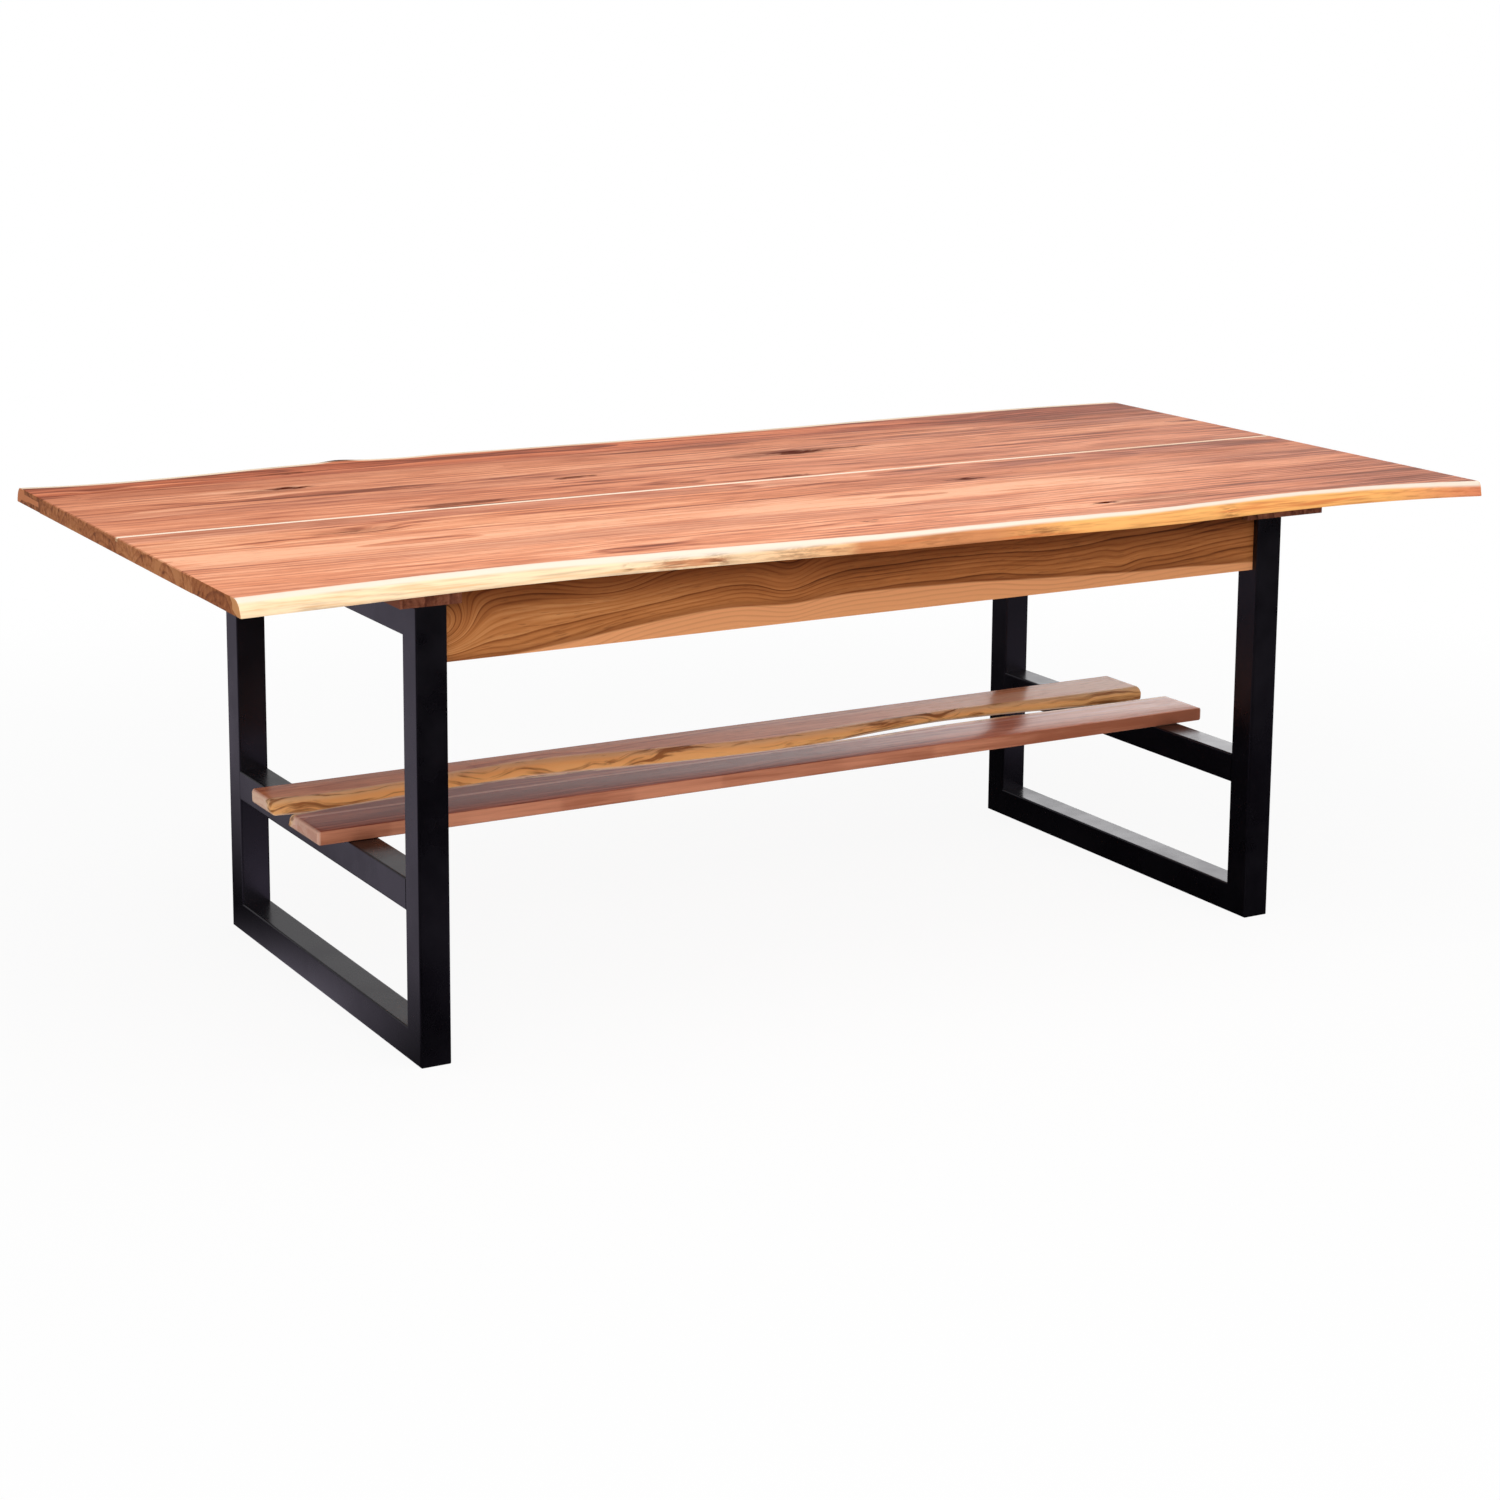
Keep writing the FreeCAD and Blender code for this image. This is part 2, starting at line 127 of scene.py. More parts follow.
def stretch(tree, vector, scale, turn=(0, 0, 0), move=(0, 0, 0)):
    node = tree.nodes.new("ShaderNodeMapping")
    feed(tree, node.inputs["Vector"], vector)
    node.inputs["Location"].default_value = move
    node.inputs["Rotation"].default_value = turn
    node.inputs["Scale"].default_value = scale
    return node.outputs[0]


def cloud(tree, vector, scale=1.0, detail=2.0, rough=0.5, twist=0.0):
    node = tree.nodes.new("ShaderNodeTexNoise")
    feed(tree, node.inputs["Vector"], vector)
    node.inputs["Scale"].default_value = scale
    node.inputs["Detail"].default_value = detail
    node.inputs["Roughness"].default_value = rough
    node.inputs["Distortion"].default_value = twist
    return node.outputs[0]


def axes(tree, vector):  # the x, y and z of a vector
    node = tree.nodes.new("ShaderNodeSeparateXYZ")
    tree.links.new(vector, node.inputs[0])
    return node.outputs


def swing(tree, noiseValue, size):  # a noise that swings round zero
    return calc(tree, "MULTIPLY", calc(tree, "SUBTRACT", noiseValue, 0.5), size)


def pushed(tree, place, direction, size):  # a place moved along a direction
    push = calcVector(tree, "SCALE", direction)
    feed(tree, push.node.inputs["Scale"], size)
    return calcVector(tree, "ADD", place, push)


def strongest(tree, masks):
    total = masks[0]
    for mask in masks[1:]:
        total = calc(tree, "MAXIMUM", total, mask)
    return total


def objectPlace(tree):
    return tree.nodes.new("ShaderNodeTexCoord").outputs["Object"]


def measure(tree, name):  # a value that the mesh carries at its points
    node = tree.nodes.new("ShaderNodeAttribute")
    node.attribute_name = name
    return node.outputs["Fac"]


def faces(tree, axis, low, high):  # 1 on faces that look along an axis, either way
    normal = tree.nodes.new("ShaderNodeNewGeometry").outputs["Normal"]
    return ranged(tree, calc(tree, "ABSOLUTE", axes(tree, normal)[axis]), low, high)


def newGroup(name, inputs, outputs):
    tree = bpy.data.node_groups.new(name, "ShaderNodeTree")
    for label, kind in inputs:
        tree.interface.new_socket(name=label, in_out="INPUT", socket_type=kind)
    for label in outputs:
        tree.interface.new_socket(name=label, in_out="OUTPUT", socket_type="NodeSocketFloat")
    return tree, tree.nodes.new("NodeGroupInput"), tree.nodes.new("NodeGroupOutput")


def useGroup(tree, group, **values):
    node = tree.nodes.new("ShaderNodeGroup")
    node.node_tree = group
    for label, value in values.items():
        feed(tree, node.inputs[label], value)
    return node.outputs


# Growth rings round a pith line along X, with slow drift, fine fibre and open pores
def makeWoodGrain():
    tree, start, end = newGroup("woodGrain", (
        ("Vector", "NodeSocketVector"), ("ringSize", "NodeSocketFloat"),
        ("wave", "NodeSocketFloat"), ("seed", "NodeSocketVector")),
        ("rings", "tone", "fibre", "pores", "streaks"))
    place, seed = start.outputs["Vector"], start.outputs["seed"]
    seeded = calcVector(tree, "ADD", place, seed)
    drift = cloud(tree, stretch(tree, seeded, (1.7, 3.4, 3.4)), 1.0, 2.0, 0.45)
    small = cloud(tree, stretch(tree, seeded, (5.0, 16.0, 16.0)), 1.0, 2.0, 0.5)
    sway = calc(tree, "ADD", calc(tree, "SUBTRACT", drift, 0.5), swing(tree, small, 0.24))
    radius = calcVector(tree, "LENGTH", calcVector(tree, "MULTIPLY", place, (0, 1, 1)), out=1)
    bent = calc(tree, "ADD", radius, calc(tree, "MULTIPLY", sway, start.outputs["wave"]))
    count = calc(tree, "DIVIDE", bent, start.outputs["ringSize"])
    year = tree.nodes.new("ShaderNodeTexWhiteNoise")
    year.noise_dimensions = "1D"
    feed(tree, year.inputs["W"], calc(tree, "FLOOR", count))
    late = ramp(tree, calc(tree, "FRACT", count), (
        (0.0, (0.25, 0.25, 0.25, 1)), (0.10, (0, 0, 0, 1)), (0.55, (0.18, 0.18, 0.18, 1)),
        (0.86, (1, 1, 1, 1)), (1.0, (0.25, 0.25, 0.25, 1))))
    strong = ranged(tree, year.outputs["Value"], 0, 1, 0.35, 1.15, "LINEAR")
    tree.links.new(calc(tree, "MULTIPLY", late, strong), end.inputs["rings"])
    bands = cloud(tree, stretch(tree, seeded, (1.2, 15.0, 15.0)), 1.0, 5.0, 0.66, 0.3)
    mixed = calc(tree, "ADD", calc(tree, "MULTIPLY", bands, 0.75),
                 calc(tree, "MULTIPLY", year.outputs["Value"], 0.25))
    tree.links.new(mixed, end.inputs["tone"])
    fine = cloud(tree, stretch(tree, seeded, (5.0, 112.0, 112.0)), 1.0, 4.0, 0.66)
    tree.links.new(fine, end.inputs["fibre"])
    long = cloud(tree, stretch(tree, seeded, (2.6, 52.0, 52.0)), 1.0, 3.0, 0.6, 0.4)
    tree.links.new(ranged(tree, long, 0.54, 0.68), end.inputs["streaks"])
    dash = cloud(tree, stretch(tree, seeded, (34.0, 640.0, 640.0)), 1.0, 1.0, 0.5)
    tree.links.new(ranged(tree, dash, 0.60, 0.72), end.inputs["pores"])
    return tree


# A soft round or long spot: 1 in its middle, fading out over its reach
def makeSoftSpot():
    tree, start, end = newGroup(
        "softSpot", [(label, "NodeSocketVector") for label in ("Vector", "centre", "reach")], ("spot",))
    away = calcVector(tree, "DIVIDE", calcVector(
        tree, "SUBTRACT", start.outputs["Vector"], start.outputs["centre"]), start.outputs["reach"])
    size = calcVector(tree, "DOT_PRODUCT", away, away, out=1)
    tree.links.new(calc(tree, "EXPONENT", calc(tree, "MULTIPLY", size, -1.0)), end.inputs["spot"])
    return tree


woodGrain = makeWoodGrain()
softSpot = makeSoftSpot()


def spotAt(tree, place, centre, reach):
    return useGroup(tree, softSpot, Vector=place, centre=centre, reach=reach)["spot"]


def newMaterial(name, specular):
    material = bpy.data.materials.new(name)
    material.use_nodes = True
    tree = material.node_tree
    shader = tree.nodes["Principled BSDF"]
    shader.inputs["Specular IOR Level"].default_value = specular
    return material, tree, shader


def relief(tree, shader, height, strength, depth):
    bump = tree.nodes.new("ShaderNodeBump")
    bump.inputs["Strength"].default_value = strength
    bump.inputs["Distance"].default_value = depth
    tree.links.new(height, bump.inputs["Height"])
    tree.links.new(bump.outputs["Normal"], shader.inputs["Normal"])


# One oiled board. knots are (x, y, z, length, width, height, darkness, bow of the grain round it).
# shade is added to its depth of tone, and far is added from one x to another, as farFrom says.
def woodMaterial(name, look):
    material, tree, shader = newMaterial(name, look["specular"])
    place = objectPlace(tree)
    bowed, ragged, marks = place, place, []
    if "knots" in look:  # torn outlines, longer along the grain
        tear = cloud(tree, stretch(tree, place, (20.0, 80.0, 80.0)), 1.0, 3.0, 0.6)
        ragged = pushed(tree, place, (0.16, 0.03, 0.03), calc(tree, "SUBTRACT", tear, 0.5))
    for x, y, z, long, wide, high, strength, bow in look.get("knots", ()):
        centre, reach = (x, y, z), (long, wide, high)
        if bow:
            spot = spotAt(tree, place, centre, reach)
            bowed = pushed(tree, bowed, look["across"], calc(tree, "MULTIPLY", spot, bow))
        if strength:
            spot = spotAt(tree, ragged, centre, reach)
            marks.append(calc(tree, "MULTIPLY", ranged(tree, spot, 0.15, 0.70), strength))
    turned = stretch(tree, bowed, (1, 1, 1), look["turn"], look["pith"])
    grain = useGroup(tree, woodGrain, Vector=turned, ringSize=look["ring"], wave=look["wave"],
                     seed=look["seed"])
    start = 0.5 + look["shade"]
    depth = ranged(tree, axes(tree, place)[0], *look["farFrom"], start, start + look["far"])
    for part, middle in (("tone", 0.5), ("rings", 0.3), ("fibre", 0.5), ("streaks", 0.15)):
        share = look[part + "Share"]
        change = calc(tree, "MULTIPLY_ADD", grain[part], share, -middle * share)
        depth = calc(tree, "ADD", change, depth)
    tint = Vector((*look["tint"], 1))
    colour = ramp(tree, depth, [(at, Vector(tone) * tint) for at, tone in look["colours"]])
    if look["mauveShare"]:
        drifting = calcVector(tree, "ADD", turned, look["seed"])
        veil = cloud(tree, stretch(tree, drifting, (0.9, 9.0, 9.0)), 1.0, 3.0, 0.55)
        veil = ranged(tree, veil, 0.46, 0.72, 0, look["mauveShare"])
        colour = blend(tree, veil, colour, look["mauve"])
    pores = calc(tree, "MULTIPLY", grain["pores"], look["poreShare"])
    colour = blend(tree, pores, colour, look["poreColour"])
    if marks:
        broken = ranged(tree, grain["fibre"], 0.3, 0.6, 0.6, 1.0)
        stain = calc(tree, "MULTIPLY", strongest(tree, marks), broken, clamp=True)
        colour = blend(tree, stain, colour, look["knotColour"])
        sheen = ranged(tree, stain, 0, 1, look["specular"], 0, "LINEAR")  # knots stay dull
        tree.links.new(sheen, shader.inputs["Specular IOR Level"])
    ends = faces(tree, 0, 0.55, 0.9)
    colour = blend(tree, ends, colour, ramp(tree, depth, look["endColours"]))
    if "paint" in look:
        colour = look["paint"](tree, place, grain, colour, ends)
    tree.links.new(colour, shader.inputs["Base Color"])
    roughness = ranged(tree, grain["fibre"], 0.25, 0.75, *look["gloss"], "LINEAR")
    tree.links.new(roughness, shader.inputs["Roughness"])
    height = calc(tree, "SUBTRACT", calc(tree, "MULTIPLY", grain["fibre"], 0.7),
                  calc(tree, "ADD", grain["pores"], calc(tree, "MULTIPLY", grain["rings"], 0.3)))
    relief(tree, shader, height, 0.22, 0.0005)
    return material


# Salmon-brown walnut of the top, a little deeper than it looks under its sheen
topLook = {
    "ring": 0.012, "wave": 0.06, "toneShare": 1.0, "ringsShare": 0.28, "fibreShare": 1.1,
    "streaksShare": 0.34, "shade": 0.0, "tint": (1, 1, 1), "far": 0.12, "farFrom": (0.1, 1.1),
    "across": (0, 1, 0), "turn": (0, 0, 0), "poreShare": 0.34, "poreColour": paint(112, 52, 38),
    "knotColour": paint(78, 24, 10), "specular": 0.06, "gloss": (0.44, 0.60),
    "colours": ((0.14, paint(250, 184, 146)), (0.36, paint(232, 154, 116)), (0.54, paint(212, 134, 98)),
                (0.72, paint(184, 108, 78)), (0.95, paint(134, 74, 52))),
    "endColours": ((0.15, paint(208, 138, 86)), (0.5, paint(182, 110, 64)),
                   (0.9, paint(132, 76, 42))),
    "mauve": paint(176, 112, 90), "mauveShare": 0.35,
}
staveLooks = {
    "back_third_wood": {
        "seed": (2.1, 4.3, 0.7), "pith": (0, -0.36, -0.70), "turn": (0, 0.010, 0.012), "shade": 0.06,
        "tint": (0.93, 0.88, 0.84), "far": 0.30},
    "back_second_wood": {
        "seed": (7.7, 1.9, 3.1), "pith": (0, -0.24, -0.69), "turn": (0, 0.016, -0.008), "shade": -0.06,
        "far": 0.24, "knots": (
            (-0.717, 0.312, 0.762, 0.036, 0.014, 0.05, 1.1, 0.024),
            (-0.760, 0.300, 0.762, 0.075, 0.016, 0.05, 0.45, 0.0),
            (0.225, 0.254, 0.762, 0.060, 0.022, 0.05, 1.0, 0.030),
            (0.200, 0.258, 0.762, 0.120, 0.030, 0.05, 0.55, 0.0),
            (0.320, 0.262, 0.762, 0.060, 0.008, 0.05, 0.85, 0.0),
            (-0.244, 0.196, 0.762, 0.030, 0.010, 0.05, 0.9, 0.0))},
    "back_inner_wood": {
        "seed": (5.5, 8.1, 2.9), "pith": (0, -0.08, -0.66), "turn": (0, 0.008, 0.010), "shade": 0.02,
        "tint": (1, 0.98, 0.98), "far": 0.18, "knots": (
            (-0.528, 0.052, 0.762, 0.110, 0.014, 0.05, 0.75, 0.010),
            (0.082, 0.041, 0.762, 0.034, 0.009, 0.05, 1.0, 0.006),
            (-0.093, 0.062, 0.762, 0.030, 0.009, 0.05, 0.70, 0.0))},
    "front_inner_wood": {
        "seed": (1.2, 6.6, 9.4), "pith": (0, 0.02, -0.68), "turn": (0, -0.012, 0.006), "shade": -0.10,
        "tint": (0.97, 0.96, 1.0), "far": 0.34, "farFrom": (-0.1, 1.1),
        "knots": (
            (-0.90, -0.010, 0.762, 0.24, 0.026, 0.05, 0.22, 0.0),
            (-0.10, -0.020, 0.762, 0.20, 0.016, 0.05, 0.20, 0.012))},
    "front_second_wood": {
        "seed": (3.9, 2.2, 5.8), "pith": (0, 0.10, -0.69), "turn": (0, 0.014, -0.010), "shade": -0.20,
        "tint": (1, 0.98, 0.94), "far": 0.46, "farFrom": (-0.6, 1.1), "knots": (
            (-0.756, -0.096, 0.762, 0.070, 0.026, 0.05, 0.30, 0.030),
            (-0.775, -0.096, 0.762, 0.022, 0.010, 0.05, 0.65, 0.0),
            (0.339, -0.122, 0.762, 0.034, 0.010, 0.05, 1.0, 0.012))},
    "front_third_wood": {
        "seed": (8.8, 0.4, 6.1), "pith": (0, 0.22, -0.71), "turn": (0, -0.009, 0.014), "shade": -0.17,
        "far": 0.40, "farFrom": (0.4, 1.1)},
}
staveWoods = {slot: woodMaterial(slot, {**topLook, **own}) for slot, own in staveLooks.items()}
print("stave woods made:", len(staveWoods))


# The natural front edge: cream rim with a painted highlight, golden below, orange right, bark stains
# between.
# middleAt is y and z of its middle, heartAt (x, length), and stains are (x, length, darkness).
frontSap = {
    "rim": paint(238, 222, 204), "left": paint(252, 222, 182), "middle": paint(242, 190, 138),
    "tan": paint(210, 140, 92), "right": paint(252, 183, 108), "stain": paint(124, 72, 42),
    "heart": paint(204, 124, 80), "vein": paint(230, 180, 130), "rust": paint(206, 110, 60),
    "end": paint(226, 138, 100), "endWood": paint(226, 160, 104),
    "middleAt": (-0.46, 0.745), "heartAt": (-0.40, 0.075), "heartReach": (0.20, 0.007),
    "stains": ((-0.488, 0.012, 0.8), (-0.42, 0.05, 0.55), (-0.345, 0.03, 0.8), (-0.20, 0.09, 0.6),
               (0.02, 0.08, 0.4), (0.225, 0.045, 0.8), (0.595, 0.020, 0.8)),
    "stainReach": (0.20, 0.010),
}


def sapStreaks(tree, place):
    return cloud(tree, stretch(tree, place, (7.0, 120.0, 210.0)), 1.0, 3.0, 0.6)


def paintFrontEdge(tree, place, grain, colour, ends):
    down, along = measure(tree, "rimGap"), axes(tree, place)[0]
    side = ramp(tree, ranged(tree, along, -1.1, 1.1, 0, 1, "LINEAR"), (
        (0.0, frontSap["left"]), (0.32, frontSap["left"]), (0.443, frontSap["middle"]),
        (0.453, frontSap["tan"]), (0.56, frontSap["tan"]), (0.63, frontSap["right"]),
        (0.92, frontSap["right"]), (1.0, frontSap["end"])))
    streak = sapStreaks(tree, place)
    side = blend(tree, ranged(tree, streak, 0.42, 0.78, 0, 0.45), side, frontSap["stain"])
    veins = cloud(tree, stretch(tree, place, (4.0, 70.0, 150.0)), 1.0, 3.0, 0.6, 0.3)
    veins = ranged(tree, veins, 0.48, 0.66, 0, 0.65)
    veins = calc(tree, "MULTIPLY", veins, ranged(tree, down, 0.012, 0.022))
    redder = ranged(tree, along, -0.35, 0.1)
    side = blend(tree, veins, side, blend(tree, redder, frontSap["vein"], frontSap["rust"]))
    rimLine = cloud(tree, stretch(tree, place, (9.0, 1.0, 1.0)), 1.0, 2.0, 0.5)
    narrower = ranged(tree, along, -0.35, 0.1, 0, 0.004)  # towards the right
    rimShift = calc(tree, "ADD", calc(tree, "ADD", down, swing(tree, rimLine, 0.004)), narrower)
    # painted highlight: the cream band along the rim is pale sapwood with the rim's highlight painted
    # on it
    side = blend(tree, ranged(tree, rimShift, 0.010, 0.0165), frontSap["rim"], side)
    x, long = frontSap["heartAt"]
    heart = spotAt(tree, place, (x, *frontSap["middleAt"]), (long, *frontSap["heartReach"]))
    heart = calc(tree, "MULTIPLY", heart, ranged(tree, streak, 0.38, 0.60, 0.45, 1.0))
    side = blend(tree, ranged(tree, heart, 0.25, 0.6, 0, 0.75), side, frontSap["heart"])
    spots = []
    for x, long, strength in frontSap["stains"]:
        spot = spotAt(tree, place, (x, *frontSap["middleAt"]), (long, *frontSap["stainReach"]))
        spots.append(calc(tree, "MULTIPLY", spot, strength))
    bark = cloud(tree, stretch(tree, place, (22.0, 150.0, 190.0)), 1.0, 4.0, 0.65, 0.6)
    patch = calc(tree, "MULTIPLY", strongest(tree, spots), ranged(tree, bark, 0.40, 0.62), clamp=True)
    patch = calc(tree, "MULTIPLY", patch, ranged(tree, down, 0.006, 0.012))
    side = blend(tree, patch, side, frontSap["stain"])
    reach = calc(tree, "ADD", down, swing(tree, rimLine, 0.006))
    reach = calc(tree, "MULTIPLY_ADD", ends, 0.014, reach)
    side = blend(tree, ends, side, frontSap["endWood"])
    return blend(tree, ranged(tree, reach, -0.0045, 0.0), colour, side)


# The back edge is seen as a thin cream line with one dark bark knob, at (centre, reach)
backSap = {
    "rim": paint(250, 228, 200), "side": paint(232, 186, 138), "bark": paint(70, 28, 14),
    "fringe": paint(158, 98, 58), "endWood": paint(222, 140, 92),
    "knob": ((-0.538, 0.548, 0.756), (0.058, 0.017, 0.018)),
}


def paintBackEdge(tree, place, grain, colour, ends):
    down = measure(tree, "rimGap")
    streak = sapStreaks(tree, place)
    side = blend(tree, ranged(tree, down, 0.006, 0.014), backSap["rim"], backSap["side"])
    side = blend(tree, ranged(tree, streak, 0.45, 0.8, 0, 0.5), side, backSap["bark"])
    wander = cloud(tree, stretch(tree, place, (6.0, 1.0, 1.0)), 1.0, 2.0, 0.5)
    reach = calc(tree, "ADD", down, swing(tree, wander, 0.008))
    reach = calc(tree, "MULTIPLY_ADD", ends, 0.012, reach)
    side = blend(tree, ends, side, backSap["endWood"])
    colour = blend(tree, ranged(tree, reach, -0.018, -0.011), colour, side)
    knob = spotAt(tree, place, *backSap["knob"])
    knob = calc(tree, "MULTIPLY_ADD", swing(tree, streak, 1.2), ranged(tree, knob, 0.02, 0.2), knob)
    colour = blend(tree, ranged(tree, knob, 0.10, 0.40, 0, 0.8), colour, backSap["fringe"])
    return blend(tree, ranged(tree, knob, 0.26, 0.60), colour, backSap["bark"])


edgeWoods = {
    "front_edge_wood": woodMaterial("front_edge_wood", {
        **topLook, "endColours": (
            (0.15, paint(192, 122, 72)), (0.5, paint(166, 96, 52)), (0.9, paint(120, 66, 36))),
        "seed": (6.3, 3.7, 1.5), "pith": (0, 0.42, -0.69), "turn": (0, 0.012, 0.008),
        "shade": -0.08, "far": 0.34, "farFrom": (0.3, 1.1), "paint": paintFrontEdge, "knots": (
            (-0.016, -0.385, 0.762, 0.012, 0.009, 0.05, 0.70, 0.0),
            (0.412, -0.420, 0.762, 0.020, 0.012, 0.05, 1.1, 0.012),
            (0.518, -0.430, 0.762, 0.110, 0.034, 0.05, 0.42, 0.0))}),
    "back_edge_wood": woodMaterial("back_edge_wood", {
        **topLook, "seed": (4.4, 9.2, 7.3), "pith": (0, -0.47, -0.71), "turn": (0, -0.018, 0.012),
        "shade": 0.22, "tint": (0.96, 0.76, 0.66), "far": 0.10, "paint": paintBackEdge, "knots": (
            (-0.658, 0.453, 0.762, 0.055, 0.012, 0.05, 0.70, 0.0),
            (-0.994, 0.430, 0.762, 0.060, 0.022, 0.05, 0.45, 0.020),
            (-0.538, 0.548, 0.756, 0.050, 0.017, 0.030, 1.0, 0.0),
            (0.713, 0.452, 0.762, 0.120, 0.028, 0.05, 0.25, 0.026))}),
}

# The pale strip in the joint of the two halves
inlayWood = woodMaterial("inlay_wood", {
    **topLook, "seed": (9.9, 0.8, 4.2), "pith": (0, 0.05, -0.60),
    "toneShare": 0.5, "fibreShare": 0.3, "streaksShare": 0.1, "mauveShare": 0.0, "far": 0.3,
    "colours": ((0.2, paint(255, 246, 232)), (0.55, paint(255, 234, 210)),
                (0.9, paint(240, 204, 170))),
    "poreShare": 0.05, "endColours": ((0.2, paint(232, 190, 140)), (0.8, paint(196, 140, 92)))})

# Dark cleats between the frames and the top
cleatWood = woodMaterial("cleat_wood", {
    **topLook, "seed": (0.6, 5.1, 8.4), "pith": (0.3, 0, -0.62), "turn": (0, 0, math.pi / 2),
    "colours": ((0.2, paint(150, 98, 74)), (0.5, paint(122, 74, 54)), (0.9, paint(82, 44, 32))),
    "endColours": ((0.2, paint(136, 86, 62)), (0.9, paint(74, 40, 28))),
    "poreColour": paint(60, 32, 24)})

# The apron shows long arched figure, a dip left of its middle and a pale sapwood band along the bottom.
# low is the height of its bottom. The band's upper line rises and falls over (from x, to x, from, to).
apronPaint = {
    "sap": paint(234, 164, 112), "seam": paint(112, 60, 32), "crown": (0.32, 0.22, 0.15, 1),
    "low": 0.613, "rise": (-0.72, -0.25, 0.0, 0.038), "fall": (-0.05, 0.70, 0.0, 0.024),
    "dip": ((-0.163, -0.384, 0.66), (0.06, 2, 1)), "dipDepth": 0.006}


def paintApron(tree, place, grain, colour, ends):
    at = axes(tree, place)
    up = calc(tree, "SUBTRACT", at[2], apronPaint["low"])
    rise = ranged(tree, at[0], *apronPaint["rise"])
    fall = ranged(tree, at[0], *apronPaint["fall"])
    dip = spotAt(tree, place, *apronPaint["dip"])
    wave = cloud(tree, stretch(tree, place, (2.6, 0.5, 0.5)), 1.0, 2.0, 0.5)
    line = calc(tree, "ADD", calc(tree, "SUBTRACT", rise, fall), swing(tree, wave, 0.016))
    line = calc(tree, "MULTIPLY_ADD", dip, -apronPaint["dipDepth"], line)
    below = calc(tree, "SUBTRACT", line, up)
    # painted shadow: the apron is darkened towards its top, where the overhanging top shades it
    deep = blend(tree, 1.0, colour, apronPaint["crown"], "MULTIPLY")
    colour = blend(tree, ranged(tree, up, 0.040, 0.122, 0, 0.9), colour, deep)
    seam = calc(tree, "MULTIPLY", ranged(tree, below, -0.012, -0.001), 0.45)
    colour = blend(tree, seam, colour, apronPaint["seam"])
    pale = blend(tree, calc(tree, "MULTIPLY", grain["rings"], 0.28), apronPaint["sap"], colour)
    return blend(tree, calc(tree, "MULTIPLY", ranged(tree, below, -0.001, 0.003), 0.92), colour, pale)


apronWood = woodMaterial("apron_wood", {
    **topLook, "seed": (2.7, 7.4, 0.9), "pith": (0, 0.36, -0.40), "turn": (0, 0.030, 0.004),
    "across": (0, 0, 1), "ring": 0.0075, "wave": 0.075, "toneShare": 0.7, "ringsShare": 0.34,
    "fibreShare": 0.6, "streaksShare": 0.16, "far": 0.14, "farFrom": (-0.5, 0.3),
    "gloss": (0.48, 0.64), "mauveShare": 0.0,
    "colours": ((0.16, paint(212, 150, 94)), (0.40, paint(186, 120, 68)), (0.64, paint(154, 92, 48)),
                (0.92, paint(96, 52, 24))),
    "poreColour": paint(88, 48, 28), "paint": paintApron,
    "endColours": ((0.2, paint(168, 108, 64)), (0.9, paint(84, 46, 26))),
    "knots": (  # they only bend the grain
        (-0.163, -0.384, 0.690, 0.050, 0.5, 0.070, 0.0, 0.020),
        (-0.762, -0.384, 0.668, 0.052, 0.5, 0.038, 0.0, 0.110),
        (-0.600, -0.384, 0.600, 0.150, 0.5, 0.060, 0.0, 0.030),
        (-0.480, -0.384, 0.715, 0.085, 0.5, 0.040, 0.0, 0.026),
        (0.471, -0.384, 0.650, 0.030, 0.5, 0.030, 0.0, 0.008))})
print("edge, inlay, cleat and apron woods made")

# Shelf boards: satin walnut faces, a golden natural edge with dark streaks, tan sawn edges. In front of
# strip, a y, the faces are darker, and a pale line runs beside it. flow bends the streaks.
shelfPaint = {
    "rim": paint(255, 212, 160), "edge": paint(255, 192, 124), "streak": paint(132, 66, 28),
    "arris": paint(244, 204, 184), "sawn": paint(164, 98, 72), "sawnPale": paint(216, 146, 114),
    "foot": paint(246, 214, 188), "strip": -0.047, "line": paint(226, 180, 164),
    "stripShade": (0.72, 0.62, 0.62, 1), "flow": (0, 0.03, 0.05),
}


